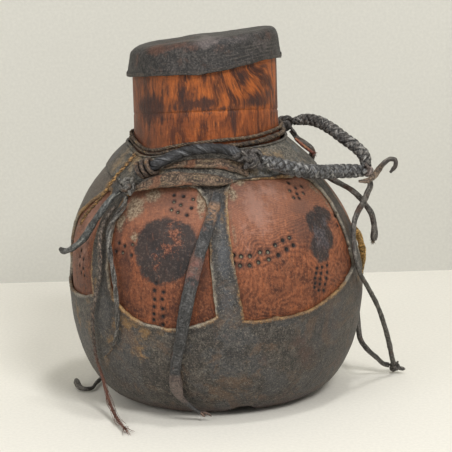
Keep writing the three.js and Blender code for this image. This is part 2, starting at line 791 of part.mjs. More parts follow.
// Materials, one for each kind of surface.
const surface = (color, roughness) => new THREE.MeshStandardMaterial({ color, roughness, metalness: 0 });
const WOOD = surface(0x8a4a24, 0.5);
const DARK_HIDE = surface(0x4a4038, 0.65);
const YOKE_LEATHER = surface(0x6b5f4e, 0.75);
const CAP_LEATHER = surface(0x38302b, 0.45);
const PLAITED_LEATHER = surface(0x3a3838, 0.6);
const GREY_THONG = surface(0x4a4a4c, 0.65);
const BROWN_CORD = surface(0x5e4634, 0.8);

const vessel = new THREE.Group();
function piece(name, solid, material) {
  const mesh = new THREE.Mesh(geometryOf(solid), material);
  mesh.name = name;
  vessel.add(mesh);
}

const lowerRoll = roll(LOWER_ROLL_SHARES, LOWER_ROLL_WIDTH, LOWER_ROLL_CLEARANCE);
const upperRoll = roll(UPPER_ROLL_SHARES, UPPER_ROLL_WIDTH, UPPER_ROLL_CLEARANCE);
piece("wooden_flask", flask(), WOOD);
piece("hide_jacket", jacket(), DARK_HIDE);
piece("shoulder_yoke", yoke(), YOKE_LEATHER);
piece("yoke_lower_roll", lowerRoll, YOKE_LEATHER);
piece("yoke_upper_roll", upperRoll, YOKE_LEATHER);
piece("neck_lashing", lashing(), BROWN_CORD);
piece("leather_cap", cap(), CAP_LEATHER);
piece("cap_hem", hem(), CAP_LEATHER);

const frontBraid = joining(frontKnotCentre, FRONT_BRAID_ROUTE, tipKnotCentre);
const rearBraid = joining(rearKnotCentre, REAR_BRAID_ROUTE, tipKnotCentre);
piece("loop_rope", cord(ropeRoute(), ROPE_DIAMETER), PLAITED_LEATHER);
piece("rope_wrapping", wrapping(), BROWN_CORD);
piece("front_knot", knot(frontKnotCentre), PLAITED_LEATHER);
piece("rear_knot", knot(rearKnotCentre), PLAITED_LEATHER);
piece("loop_front_braid", cord(frontBraid, BRAID_DIAMETER), PLAITED_LEATHER);
piece("loop_rear_braid", cord(rearBraid, BRAID_DIAMETER), PLAITED_LEATHER);
piece("loop_tip_knot", knot(tipKnotCentre), PLAITED_LEATHER);
piece("loop_tip_tail", cord(leaving(tipKnotCentre, TAIL_ROUTE), TAIL_DIAMETER), BROWN_CORD);

const leftFlat = leaving(leftKnotCentre, LEFT_FLAT_ROUTE);
const shoulderCord = cord(overHide(SHOULDER_CORD_ROUTE), SHOULDER_CORD_DIAMETER, THIN_CORD_SIDES);
piece("left_knot", knot(leftKnotCentre), GREY_THONG);
piece("left_stub_thong", cord(leaving(leftKnotCentre, LEFT_STUB_ROUTE), LEFT_STUB_DIAMETER), GREY_THONG);
piece("left_flat_thong", strap(leftFlat, LEFT_FLAT_WIDTH, LEFT_FLAT_THICKNESS), GREY_THONG);
piece("left_frayed_cord", cord(overHide(LEFT_CORD_ROUTE), LEFT_CORD_DIAMETER), BROWN_CORD);
piece("shoulder_cord", shoulderCord, BROWN_CORD);

const frontThong = strap(overHide(FRONT_THONG_ROUTE), FRONT_THONG_WIDTH, FRONT_THONG_THICKNESS);
const tether = joining(tipKnotCentre, TETHER_ROUTE, tetherKnotCentre, TETHER_KNOT_RADIUS);
const rearRight = joining(rearKnotCentre, REAR_RIGHT_ROUTE, tetherKnotCentre, TETHER_KNOT_RADIUS);
const frayedTab = strap(overHide(FRAYED_TAB_ROUTE), FRAYED_TAB_WIDTH, FRAYED_TAB_THICKNESS);
piece("front_thong", frontThong, GREY_THONG);
piece("right_stub_thong", cord(overHide(RIGHT_STUB_ROUTE), RIGHT_STUB_DIAMETER), GREY_THONG);
piece("tip_tether", cord(tether, TETHER_DIAMETER), GREY_THONG);
piece("tether_knot", knot(tetherKnotCentre, TETHER_KNOT_RADIUS), GREY_THONG);
piece("rear_right_thong", cord(rearRight, REAR_RIGHT_DIAMETER), GREY_THONG);
piece("rear_left_thong", cord(overHide(REAR_LEFT_ROUTE), REAR_LEFT_DIAMETER), GREY_THONG);
piece("frayed_tab", frayedTab, BROWN_CORD);

export default vessel;
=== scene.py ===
import math

import bpy
import numpy as np
from mathutils import Matrix, Vector


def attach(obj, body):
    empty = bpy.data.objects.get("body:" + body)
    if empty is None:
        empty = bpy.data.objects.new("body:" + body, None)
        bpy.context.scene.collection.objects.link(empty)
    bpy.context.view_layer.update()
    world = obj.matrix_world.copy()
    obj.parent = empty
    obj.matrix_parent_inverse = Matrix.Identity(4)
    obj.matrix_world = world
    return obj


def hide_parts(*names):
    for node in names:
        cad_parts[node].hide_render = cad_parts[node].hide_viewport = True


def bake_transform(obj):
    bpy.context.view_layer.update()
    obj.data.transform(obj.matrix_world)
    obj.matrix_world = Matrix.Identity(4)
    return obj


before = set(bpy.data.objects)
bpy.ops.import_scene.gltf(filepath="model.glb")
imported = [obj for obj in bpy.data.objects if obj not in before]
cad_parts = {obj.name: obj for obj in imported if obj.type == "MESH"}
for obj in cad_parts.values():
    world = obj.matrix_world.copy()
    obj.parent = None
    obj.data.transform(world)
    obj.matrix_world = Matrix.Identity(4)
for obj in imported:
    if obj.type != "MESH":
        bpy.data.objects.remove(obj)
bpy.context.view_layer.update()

# The camera: the photograph's viewpoint, a little above the vessel and turned a little on its own axis.
# The photograph is 452 by 452 pixels.
CAMERA_PLACE = Vector((0.0078, -1.476, 0.423))
CAMERA_PITCH_DEGREES = 11.76
CAMERA_ROLL_DEGREES = 1.7
PHOTO_PIXELS = 452
FOCAL_PIXELS = 2166
SENSOR_MM = 36

pitch = math.radians(CAMERA_PITCH_DEGREES)
roll = math.radians(CAMERA_ROLL_DEGREES)
ahead = Vector((0, math.cos(pitch), -math.sin(pitch)))
level_right = Vector((1, 0, 0))
level_up = level_right.cross(ahead)
right = level_right * math.cos(roll) - level_up * math.sin(roll)
up = level_right * math.sin(roll) + level_up * math.cos(roll)
camera_data = bpy.data.cameras.new("camera")
camera_data.sensor_width = SENSOR_MM
camera_data.lens = SENSOR_MM * FOCAL_PIXELS / PHOTO_PIXELS
camera = bpy.data.objects.new("camera", camera_data)
camera.matrix_world = Matrix.Translation(CAMERA_PLACE) @ Matrix((right, up, -ahead)).transposed().to_4x4()
bpy.context.scene.collection.objects.link(camera)
bpy.context.scene.camera = camera
bpy.context.scene.view_settings.view_transform = "Standard"


# The room: a pale floor and a wall behind, two planes in matt stone-coloured paint. Each is clear from its back,
# so that the vessel can also be looked at from behind the wall.
FLOOR_COLOUR = (0.768, 0.744, 0.672)
WALL_COLOUR = (0.575, 0.566, 0.516)
WALL_PLACE = 0.342
ROOM_SPAN = 8.0
GRAIN_SCALE = 420


def linear(red, green, blue):
    """A colour as the screen shows it, from 0 to 255, turned to what the shader takes."""
    shares = np.array((red, green, blue)) / 255
    return tuple(np.where(shares <= 0.04045, shares / 12.92, ((shares + 0.055) / 1.055) ** 2.4)) + (1.0,)


class Surface:
    """A material under construction: each call adds a node or a few and gives back what comes out of them.

    A colour is three screen values from 0 to 255, four values of the shader's own, or what comes out of a node.
    """

    def __init__(self, name):
        self.material = bpy.data.materials.new(name)
        self.material.use_nodes = True
        self.tree = self.material.node_tree
        self.shader = self.tree.nodes["Principled BSDF"]
        self.place = self.node("TexCoord").outputs["Object"]

    def feed(self, socket, value):
        if isinstance(value, bpy.types.NodeSocket):
            self.tree.links.new(value, socket)
        else:
            socket.default_value = value

    def node(self, kind, inputs=None, **settings):
        """A new node with its settings, and its inputs fed by name or number."""
        made = self.tree.nodes.new("ShaderNode" + kind)
        for name, value in settings.items():
            setattr(made, name, value)
        for socket, value in (inputs or {}).items():
            self.feed(made.inputs[socket], value)
        return made

    def painted(self, name, output="Fac"):
        return self.node("Attribute", attribute_name=name).outputs[output]

    def stretched(self, scale, turn=(0, 0, 0), place=None):
        """The places that a pattern is drawn at, scaled and turned so that it runs one way."""
        turn = tuple(math.radians(angle) for angle in turn)
        return self.node("Mapping", {"Vector": place or self.place, "Scale": scale, "Rotation": turn}).outputs["Vector"]

    def noise(self, scale, detail=4.0, roughness=0.55, vector=None, distortion=0.0):
        inputs = {"Scale": scale, "Detail": detail, "Roughness": roughness, "Distortion": distortion}
        return self.node("TexNoise", {"Vector": vector or self.place, **inputs}).outputs["Fac"]

    def bands(self, scale, vector, distortion, detail_scale, kind="BANDS"):
        inputs = {"Scale": scale, "Distortion": distortion, "Detail": 3.0, "Detail Scale": detail_scale}
        wave = {"wave_profile": "SIN", "wave_type": kind, "rings_direction": "Z"}
        return self.node("TexWave", {"Vector": vector, **inputs}, **wave).outputs["Fac"]

    def times(self, first, second):
        return self.node("Math", {0: first, 1: second}, operation="MULTIPLY").outputs[0]

    def plus(self, first, second, clamp=False):
        return self.node("Math", {0: first, 1: second}, operation="ADD", use_clamp=clamp).outputs[0]

    def weighed(self, *parts):
        """Patterns added up, each by its weight."""
        total, *others = [self.times(*part) for part in parts]
        for other in others:
            total = self.plus(total, other)
        return total

    def broken(self, name, amount, *noise):
        """A painted field with its edge broken up by noise."""
        return self.plus(self.painted(name), self.times(self.plus(self.noise(*noise), -0.5), amount))

    def between(self, value, low, high):
        """From 0 to 1 as a value goes from low to high, with soft ends."""
        inputs = {"Value": value, "From Min": low, "From Max": high}
        return self.node("MapRange", inputs, interpolation_type="SMOOTHSTEP").outputs["Result"]

    def mixed(self, share, first, second, blend="MIX"):
        first, second = (linear(*c) if isinstance(c, tuple) and len(c) == 3 else c for c in (first, second))
        return self.node("Mix", {0: share, 6: first, 7: second}, data_type="RGBA", blend_type=blend).outputs[2]

    def layered(self, colour, *tints):
        """Tints laid over a colour: pattern, the two values it fades in between, tint, share, and any limit."""
        for pattern, low, high, tint, share, *where in tints:
            seen = self.between(pattern, low, high)
            for limit in where:
                seen = self.times(seen, limit)
            colour = self.mixed(self.times(seen, share), colour, tint)
        return colour

    def raised(self, height, distance, strength):
        return self.node("Bump", {"Height": height, "Distance": distance, "Strength": strength}).outputs["Normal"]

    def finish(self, colour, roughness, **others):
        """The finished material. The shader's other inputs are given by name."""
        for name, value in {"Base Color": colour, "Roughness": roughness, **others}.items():
            self.feed(self.shader.inputs[name.replace("_", " ")], value)
        return self.material


def stage_plane(name, place, turn, colour):
    bpy.ops.mesh.primitive_plane_add(size=ROOM_SPAN, location=place, rotation=turn)
    plane = bpy.context.object
    plane.name = name
    paint = Surface(name + "_paint")
    speckle = paint.between(paint.noise(GRAIN_SCALE, 3), 0.3, 0.75)
    shade = paint.mixed(speckle, tuple(0.93 * c for c in colour) + (1,), colour + (1,))
    behind = paint.node("NewGeometry").outputs["Backfacing"]
    seen = paint.node("Math", {0: 1.0, 1: behind}, operation="SUBTRACT").outputs[0]
    plane.data.materials.append(paint.finish(shade, 0.9, Alpha=seen))


stage_plane("floor", (0, WALL_PLACE - ROOM_SPAN / 2, 0), (0, 0, 0), FLOOR_COLOUR)
stage_plane("wall", (0, WALL_PLACE, ROOM_SPAN / 2), (math.pi / 2, 0, 0), WALL_COLOUR)


# The light: a broad soft lamp at the right front, a small one high above that draws the shadows under the loop and the
# rolls, a broad weak one at the left, and an even, slightly warm sky.
def soft_lamp(name, place, size, power):
    data = bpy.data.lights.new(name, "AREA")
    data.shape = "DISK"
    data.size = size
    data.energy = power
    lamp = bpy.data.objects.new(name, data)
    lamp.location = place
    lamp.rotation_euler = (Vector((0, 0, 0.12)) - Vector(place)).to_track_quat("-Z", "Y").to_euler()
    bpy.context.scene.collection.objects.link(lamp)


soft_lamp("key_lamp", (0.9, -1.9, 1.85), 0.8, 45)
soft_lamp("top_lamp", (0.3, -0.3, 1.7), 0.22, 7)
soft_lamp("side_lamp", (-1.2, -1.2, 0.8), 1.2, 10)
sky = bpy.data.worlds.new("sky")
sky.use_nodes = True
sky.node_tree.nodes["Background"].inputs["Color"].default_value = (1.0, 0.98, 0.95, 1)
sky.node_tree.nodes["Background"].inputs["Strength"].default_value = 0.46
bpy.context.scene.world = sky


# The wooden flask: one block of red-brown wood, carved to a round belly and a straight neck, hollowed, and scored
# with a line round the neck. Discs and rows of dots are burned into the belly, and its grain shows as fine contour
# lines. Sizes are in millimetres.
MM = 0.001
BELLY_RADIUS = 100
BELLY_HEIGHT = 85
FOOT_RADIUS = 58
NECK_FOOT_HEIGHT = 175
NECK_RADIUS = 49.5
NECK_FLARE = 1.6
NECK_FLARE_HEIGHT = 7
RIM_HEIGHT = 246
WOOD_BOTTOM = 2.7
WOOD_WALL = 7
WOOD_FLOOR = 12
SKIRT_HEIGHT = 229.4
GROOVE_HEIGHT = 197
GROOVE_WIDTH = 2.2
GROOVE_DEPTH = 0.45
SPIN_STEPS = 320
DOT_RADIUS = 1.35
BIG_DOT_RADIUS = 1.8
DOT_DEPTH = 0.9
BIG_DOT_DEGREES = (5, 36)
# The belly's side is an oval with these powers, below its middle and above it.
LOW_SIDE_POWERS = (2.2, 0.45)
HIGH_SIDE_POWER = 2.3
# How far the neck stands to the left, how much it and the rim slant, and how much the turned line does, within a reach.
NECK_LEAN = 3.8
NECK_SLANT = 0.11
RIM_TIP = 0.075
LINE_TILT = 0.147
LINE_TILT_REACH = 16
# The radius at which a spot's width is taken, for spots that lie under a height.
SPOT_RADII = ((150, 95), (NECK_FOOT_HEIGHT, 75), (math.inf, NECK_RADIUS))


def eased(share):
    """A share from 0 to 1 with soft ends."""
    share = np.clip(share, 0, 1)
    return share * share * (3 - 2 * share)


def carved(points):
    """Points of the true round form moved to where the hand-carved one has them."""
    x, y, z = points.T
    climb = eased((z - BELLY_HEIGHT) / (NECK_FOOT_HEIGHT - BELLY_HEIGHT))
    slant = np.clip((z - NECK_FOOT_HEIGHT) / (SKIRT_HEIGHT - NECK_FOOT_HEIGHT), 0, 1)
    tip = np.clip((z - SKIRT_HEIGHT) / (RIM_HEIGHT - SKIRT_HEIGHT), 0, 1)
    return np.stack((x - NECK_LEAN * climb, y, z + NECK_SLANT * x * slant - RIM_TIP * y * tip), axis=1)


def belly_outline(distance, rings):
    """Radius and height up the belly, from the base's middle to the neck's foot, moved outwards by a distance."""
    quarter = np.arange(1, rings + 1) / rings * math.pi / 2
    below, climb = np.clip(np.cos(quarter), 0, 1), np.sin(quarter)
    power, rounding = LOW_SIDE_POWERS
    low = FOOT_RADIUS + (BELLY_RADIUS - FOOT_RADIUS) * (1 - below ** power) ** rounding
    neck_foot = NECK_RADIUS + NECK_FLARE
    high = neck_foot + (BELLY_RADIUS - neck_foot) * (1 - climb ** HIGH_SIDE_POWER)
    radius = np.concatenate(((0, FOOT_RADIUS), low, high))
    height = np.concatenate((
        (WOOD_BOTTOM, WOOD_BOTTOM),
        BELLY_HEIGHT - (BELLY_HEIGHT - WOOD_BOTTOM) * np.cos(quarter),
        BELLY_HEIGHT + (NECK_FOOT_HEIGHT - BELLY_HEIGHT) * climb,
    ))
    line = np.stack((radius, height), axis=1)
    steps = np.diff(line, axis=0)
    normals = np.stack((steps[:, 1], -steps[:, 0]), axis=1) / np.hypot(*steps.T)[:, None]
    total = np.concatenate((normals[:1], normals)) + np.concatenate((normals, normals[-1:]))
    moved = line + total * (2 * distance / (total ** 2).sum(axis=1))[:, None]
    moved[0, 0] = 0
    return moved


def neck_radius(height):
    return NECK_RADIUS + NECK_FLARE * np.exp((NECK_FOOT_HEIGHT - height) / NECK_FLARE_HEIGHT)


def round_points(reach, degrees, heights):
    """Points from their reach from the middle line, degrees round from the front to the right, and height."""
    angle = np.radians(degrees)
    return np.stack((reach * np.sin(angle), -reach * np.cos(angle), heights), axis=1)


def points_of(piece):
    flat = np.empty(len(piece.data.vertices) * 3)
    piece.data.vertices.foreach_get("co", flat)
    return flat.reshape(-1, 3) / MM


def set_points(piece, points):
    piece.data.vertices.foreach_set("co", (points * MM).ravel())
    piece.data.update()


def paint(piece, name, values):
    piece.data.attributes.new(name, "FLOAT", "POINT").data.foreach_set("value", values.astype(np.float32))


def paint_spots(piece, degrees, heights, **fields):
    """Paints fields made of oval spots, each given by degrees, height, half width, half height and strength."""
    for name, spots in fields.items():
        field = np.zeros(len(degrees))
        for spot_degrees, spot_height, half_width, half_height, strength in spots:
            radius = next(radius for below, radius in SPOT_RADII if spot_height < below)
            apart = (degrees - spot_degrees + 180) % 360 - 180
            far = np.hypot(np.radians(apart) * radius / half_width, (heights - spot_height) / half_height)
            field = np.maximum(field, strength * np.clip(1 - far / 2, 0, 1))
        paint(piece, name, field)


def only(piece):
    """Makes one piece the only thing selected and worked on."""
    bpy.ops.object.select_all(action="DESELECT")
    piece.select_set(True)
    bpy.context.view_layer.objects.active = piece


def mesh_piece(name, points, faces=(), edges=()):
    """A new object with its place in its mesh, from points in millimetres."""
    mesh = bpy.data.meshes.new(name)
    mesh.from_pydata((np.asarray(points) * MM).tolist(), edges, faces)
    piece = bpy.data.objects.new(name, mesh)
    bpy.context.scene.collection.objects.link(piece)
    return piece


def dressed(piece, material, slot, body, *nodes):
    """Gives a piece its material, its body if it rides on one alone, and the nodes that it stands for, which it hides.
    The slot is not used.
    """
    piece.data.materials.clear()
    piece.data.materials.append(material)
    if nodes:
        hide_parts(*nodes)
    if body:
        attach(piece, body)


def smoothed(piece):
    only(piece)
    bpy.ops.object.shade_smooth()


def subdivided_near(piece, chosen):
    """Cuts the faces that hold any chosen vertex in four."""
    only(piece)
    bpy.ops.object.mode_set(mode="EDIT")
    bpy.ops.mesh.select_all(action="DESELECT")
    bpy.ops.object.mode_set(mode="OBJECT")
    for face in piece.data.polygons:
        face.select = any(chosen[v] for v in face.vertices)
    bpy.ops.object.mode_set(mode="EDIT")
    bpy.context.tool_settings.mesh_select_mode = (False, False, True)
    bpy.ops.mesh.subdivide(number_cuts=1)
    bpy.ops.object.mode_set(mode="OBJECT")


wood_side = belly_outline(0, 56)[1:]
neck_heights = np.concatenate((
    np.arange(NECK_FOOT_HEIGHT + 1.5, GROOVE_HEIGHT - GROOVE_WIDTH, 1.8),
    np.linspace(GROOVE_HEIGHT - GROOVE_WIDTH / 2, GROOVE_HEIGHT + GROOVE_WIDTH / 2, 5),
    np.arange(GROOVE_HEIGHT + GROOVE_WIDTH, RIM_HEIGHT - 2, 1.8),
))
neck_wall = neck_radius(neck_heights)
groove = np.clip(1 - np.abs(neck_heights - GROOVE_HEIGHT) / (GROOVE_WIDTH / 2), 0, 1)
neck = np.stack((neck_wall - GROOVE_DEPTH * groove, neck_heights), axis=1)
inner_side = belly_outline(-WOOD_WALL, 16)
inner_side = inner_side[(inner_side[:, 1] > WOOD_BOTTOM + WOOD_FLOOR + 2) & (inner_side[:, 0] > 0)]
lip = [(NECK_RADIUS - 0.4, RIM_HEIGHT - 0.5), (NECK_RADIUS - 1.5, RIM_HEIGHT), (NECK_RADIUS - 5.5, RIM_HEIGHT)]
floor_height = WOOD_BOTTOM + WOOD_FLOOR
inside = [(NECK_RADIUS - WOOD_WALL, RIM_HEIGHT - 2), *inner_side[::-1].tolist(), (FOOT_RADIUS - 2, floor_height)]
profile = np.array([(0, WOOD_BOTTOM), *wood_side.tolist(), *neck.tolist(), *lip, *inside, (0, floor_height)])
ring_points = np.stack((profile[:, 0], np.zeros(len(profile)), profile[:, 1]), axis=1)
flask = mesh_piece("carved_flask", ring_points, edges=[(i, i + 1) for i in range(len(profile) - 1)])
only(flask)
bpy.ops.object.mode_set(mode="EDIT")
bpy.ops.mesh.select_all(action="SELECT")
bpy.ops.mesh.spin(steps=SPIN_STEPS, angle=2 * math.pi, center=(0, 0, 0), axis=(0, 0, 1))
bpy.ops.mesh.select_all(action="SELECT")
bpy.ops.mesh.remove_doubles(threshold=0.02 * MM)
bpy.ops.mesh.normals_make_consistent(inside=False)
bpy.ops.object.mode_set(mode="OBJECT")

# The burned dots, as degrees round and height.
DOTS = [
    (-17.7, 152.5), (-12.7, 152.0), (-7.7, 150.3), (-17.2, 148.7), (-13.6, 147.0), (-8.4, 145.2),
    (-17.9, 144.0), (-14.7, 142.7), (-10.4, 141.0),
    (-41.4, 121.2), (-38.2, 119.8), (-34.4, 121.5), (-42.3, 115.7), (-38.8, 115.5), (-34.4, 114.6),
    (-23.0, 98.1), (-23.9, 93.1), (-20.2, 92.3), (-24.0, 87.1), (-20.8, 87.5), (-24.3, 82.1),
    (-20.8, 81.0), (-24.5, 77.1), (-20.8, 75.9), (-24.7, 73.0), (-21.0, 70.0),
    (47.3, 154.2), (49.9, 150.7), (54.8, 150.5), (44.9, 150.0), (48.2, 147.4), (52.8, 146.7),
    (44.7, 145.7), (47.9, 144.7),
    (7.9, 116.0), (10.8, 115.0), (14.4, 114.9), (18.7, 116.5), (22.0, 116.2), (25.7, 119.9),
    (29.6, 122.0), (33.1, 122.9),
    (7.5, 110.9), (10.0, 109.3), (13.7, 108.9), (17.4, 110.3), (21.8, 111.4), (26.1, 113.4),
    (30.3, 116.2), (33.9, 118.0),
    (66.8, 127.9), (68.1, 122.7), (64.9, 122.1),
    (43.2, 100.4), (46.0, 100.2), (49.1, 100.5), (42.4, 97.3), (45.1, 96.4), (48.6, 96.0),
    (41.6, 94.2), (44.3, 92.9), (47.7, 92.2), (41.4, 90.8), (43.8, 89.4), (46.8, 88.4),
    (40.9, 88.2), (43.1, 85.5), (45.9, 84.6),
    (-67.6, 109.7), (-68.7, 105.3), (-64.6, 104.6), (-68.3, 99.2), (-64.5, 98.5), (-66.6, 95.0), (-63.4, 94.0),
]
# The same rows on the side that the photograph doesn't show.
DOTS += [(degrees + 180, height) for degrees, height in DOTS if -45 < degrees < 50]


def on_belly(degrees, heights):
    """Places on the wood's side, as points before carving."""
    return round_points(np.interp(heights, wood_side[:, 1], wood_side[:, 0]), degrees, heights)


def nearest(points, targets, block=4000):
    """The distance from each point to the nearest of the targets, and which one it is."""
    far = np.empty(len(points))
    which = np.empty(len(points), int)
    for start in range(0, len(points), block):
        part = points[start:start + block]
        squares = ((part[:, None, :] - targets[None]) ** 2).sum(axis=2)
        which[start:start + block] = squares.argmin(axis=1)
        far[start:start + block] = np.sqrt(squares.min(axis=1))
    return far, which


dot_places = np.array(DOTS)
dot_centres = on_belly(dot_places[:, 0], dot_places[:, 1])
# The faces round each dot are cut finer, twice.
for reach in (4.6, 3.2):
    far, _ = nearest(points_of(flask), dot_centres)
    subdivided_near(flask, far < reach)
points = points_of(flask)
far, which = nearest(points, dot_centres)
big = (dot_places[:, 0] > BIG_DOT_DEGREES[0]) & (dot_places[:, 0] < BIG_DOT_DEGREES[1])
dot_radius = np.where(big, BIG_DOT_RADIUS, DOT_RADIUS)[which]
pit = np.clip(1 - far / dot_radius, 0, 1)
away = points / np.linalg.norm(points, axis=1)[:, None]
degrees = np.degrees(np.arctan2(points[:, 0], -points[:, 1]))
heights = points[:, 2].copy()
slant = (heights - NECK_FOOT_HEIGHT) / (SKIRT_HEIGHT - NECK_FOOT_HEIGHT)
radial = np.hypot(points[:, 0], points[:, 1]) > NECK_RADIUS - 3
tilt = np.clip(1 - np.abs(heights - GROOVE_HEIGHT) / LINE_TILT_REACH, 0, 1) * (heights > NECK_FOOT_HEIGHT)
points[:, 2] -= radial * tilt * (LINE_TILT * points[:, 1] + NECK_SLANT * points[:, 0] * slant)
points -= away * (DOT_DEPTH * eased(pit * 1.6))[:, None]
paint(flask, "dot", np.clip(1 - far / dot_radius, -2, 1))
# Scorched discs, as degrees round, height and radius.
SCORCHES = [
    (-20, 119.5, 21.5), (-22, 112, 15), (-15, 124, 15),
    (51, 127, 10), (47, 112, 9), (52, 119, 10), (56, 133, 6), (60, 131, 5),
    (160, 119, 21), (230, 123, 18), (108, 120, 19),
]
scorch = np.full(len(points), -30.0)
for scorch_degrees, scorch_height, radius in SCORCHES:
    centre = on_belly(np.array([scorch_degrees]), np.array([scorch_height]))
    scorch = np.maximum(scorch, radius - nearest(points, centre)[0])
paint(flask, "scorch", scorch)
# Painted shade: the wood's lowest part, seen through the worn notch, and the inside of the neck below the rim are
# marked to be painted near black.
outer = np.where(heights > NECK_FOOT_HEIGHT, NECK_RADIUS, np.interp(heights, wood_side[:, 1], wood_side[:, 0]))
behind_wall = eased((outer - 4.2 - np.hypot(points[:, 0], points[:, 1])) / 2)
painted_inside_shade = 0.85 * behind_wall * eased((RIM_HEIGHT + 3 - heights) / 18)
paint(flask, "under", np.maximum(eased((14 - heights) / 4), painted_inside_shade))
# The haze field is dark smoke round the discs, and painted shade beside the front thong.
paint_spots(flask, degrees, heights, chalk=[
    (-37, 143, 8, 8, 1.0), (-43, 134, 5, 6, 0.9), (-29, 152, 7, 5, 0.9), (-34, 126, 3, 3, 0.9),
    (-4, 147, 4, 8, 0.9), (-2, 154, 5, 5, 0.9), (-1, 138, 2.5, 10, 0.8), (-14, 158, 12, 4, 0.6),
    (9.5, 132, 1.8, 26, 0.65), (12, 153, 4, 6, 0.8), (18, 160, 7, 4, 0.9), (66, 140, 3, 20, 0.7),
    (64, 150, 5, 8, 0.7), (150, 150, 9, 8, 0.9), (215, 150, 9, 8, 0.9), (95, 150, 8, 7, 0.9),
], haze=[
    (41, 124, 9, 10, 1.0), (46, 139, 10, 5, 1.0), (52, 122, 12, 16, 0.7), (-37, 106, 4.5, 18, 1.1),
    (-42, 122, 3.5, 12, 1.0), (8, 92, 7, 10, 0.7), (30, 92, 10, 7, 0.5), (-16, 149, 14, 9, 0.72), (10, 108, 6, 5, 0.7),
    (-5, 103, 4, 12, 0.9),
], ember=[
    (-16, 130.5, 5, 5, 1.1), (-19, 120, 5, 4, 0.9), (-24, 114.5, 3.2, 3, 0.8), (-14, 124, 4, 5, 0.8),
    (-23, 107, 4, 4, 0.6), (160, 122, 6, 6, 0.9), (230, 120, 5, 5, 0.8),
], veil=[
    (22, 143, 9, 13, 1.0), (33, 152, 10, 7, 0.8), (14, 130, 4, 12, 0.6), (-66, 125, 9, 24, 0.9),
], ash=[
    (50, 118, 6, 8, 1.1), (56, 128, 4, 5, 0.7), (-24, 117, 5, 7, 0.5),
], smoke=[
    (-48, 205.5, 11, 10, 1.5), (-52, 208, 6, 6, 0.9), (-38, 201, 6, 4, 0.9), (-16, 206.5, 6, 11, 1.15),
    (-24, 203, 3, 6, 0.9), (-11, 203, 3, 7, 0.9), (-18, 217, 3, 6, 1.0), (-2, 207, 9, 5.5, 1.2), (6, 205, 4, 4, 0.6),
    (44, 204.4, 13, 5.5, 1.1), (60, 208, 9, 6, 0.8), (34, 206, 5, 4, 0.6), (22.9, 192.5, 2.1, 6.5, 1.15),
    (20, 197, 2, 4, 0.8), (31.4, 224, 6, 5, 1.0), (40, 226, 7, 4, 0.9), (52, 226, 7, 3, 0.8),
    (14, 199.6, 26, 2.4, 0.72),
    (-20, 200, 20, 2.2, 0.7), (-44.6, 205, 2.4, 22, 0.62), (-60, 201, 9, 10, 0.6), (-4, 216, 3, 5, 0.6),
    (10, 219, 5, 4, 0.6), (58, 216, 5, 8, 0.55), (-30, 222, 2.4, 7, 0.6), (70, 200, 8, 12, 0.5),
    (120, 208, 12, 9, 1.0), (200, 206, 11, 9, 1.0), (260, 210, 10, 8, 1.0), (160, 196, 6, 12, 0.8),
])
# The grain's own coordinates: it fans out towards the rim at the neck's right.
fan = 22 * np.exp(-((degrees - 38) / 22) ** 2) * np.clip((heights - 206) / 22, 0, 1) ** 1.3
grain = round_points(np.hypot(points[:, 0], points[:, 1]), degrees + fan, points[:, 2]) * MM
flask.data.attributes.new("grain", "FLOAT_VECTOR", "POINT").data.foreach_set("vector", grain.astype(np.float32).ravel())
set_points(flask, carved(points))
smoothed(flask)

wood = Surface("burned_red_wood")
along_grain = wood.painted("grain", "Vector")
place_x, _, place_z = wood.node("SeparateXYZ", {0: wood.place}).outputs
is_neck = wood.between(place_z, 0.176, 0.181)
above_line = wood.between(place_z, 0.199, 0.204)


def wobbled(vector, scale, amount):
    """A place moved about by a cloudy pattern, so that lines drawn by it waver."""
    cloud = wood.node("TexNoise", {"Vector": vector, "Scale": scale, "Detail": 3}).outputs["Color"]
    return wood.node("VectorMath", {0: cloud, 1: (amount,) * 3, 2: vector}, operation="MULTIPLY_ADD").outputs["Vector"]


leaning = wood.stretched((1, 1, 1), (7, -5, 0), along_grain)
contour = wood.bands(330, wobbled(wobbled(leaning, 13, 0.03), 110, 0.0009), 1.8, 12, "RINGS")
broad_contour = wood.bands(52, wobbled(leaning, 16, 0.05), 3.0, 6, "RINGS")
patches = wood.noise(30, 6, 0.65, along_grain, 0.8)
flecks = wood.noise(600, 5, 0.75, along_grain)
streaks = wood.noise(330, 5, 0.7, wood.stretched((1, 1, 0.2), place=along_grain))
broad_streaks = wood.noise(105, 4, 0.62, wood.stretched((1, 1, 0.3), place=along_grain), 0.5)
fine_streaks = wood.noise(880, 4, 0.75, wood.stretched((1, 1, 0.13), place=along_grain))
short_lines = wood.noise(700, 4, 0.7, wood.stretched((1, 0.25, 0.2), (25, 0, 20), along_grain))
contour_share = wood.plus(0.09, wood.times(wood.between(place_x, -0.01, 0.03), 0.16))
# Among the belly's tints, the haze is smoke round the discs and painted shade beside the front thong.
belly_colour = wood.layered(
    wood.mixed(wood.between(patches, 0.32, 0.66), (80, 42, 26), (144, 83, 51)),
    (broad_contour, 0.4, 0.05, (54, 24, 16), 0.08),
    (contour, 0.5, 0.95, (174, 110, 74), contour_share),
    (contour, 0.42, 0.08, (46, 21, 15), contour_share),
    (short_lines, 0.54, 0.7, (182, 104, 56), 0.45),
    (short_lines, 0.46, 0.32, (44, 20, 14), 0.5),
    (flecks, 0.52, 0.64, (184, 124, 88), 0.4),
    (flecks, 0.48, 0.36, (38, 19, 15), 0.55),
    (wood.broken("haze", 1.0, 160, 5, 0.7), 0.25, 0.75, (52, 33, 29), 0.55),
)
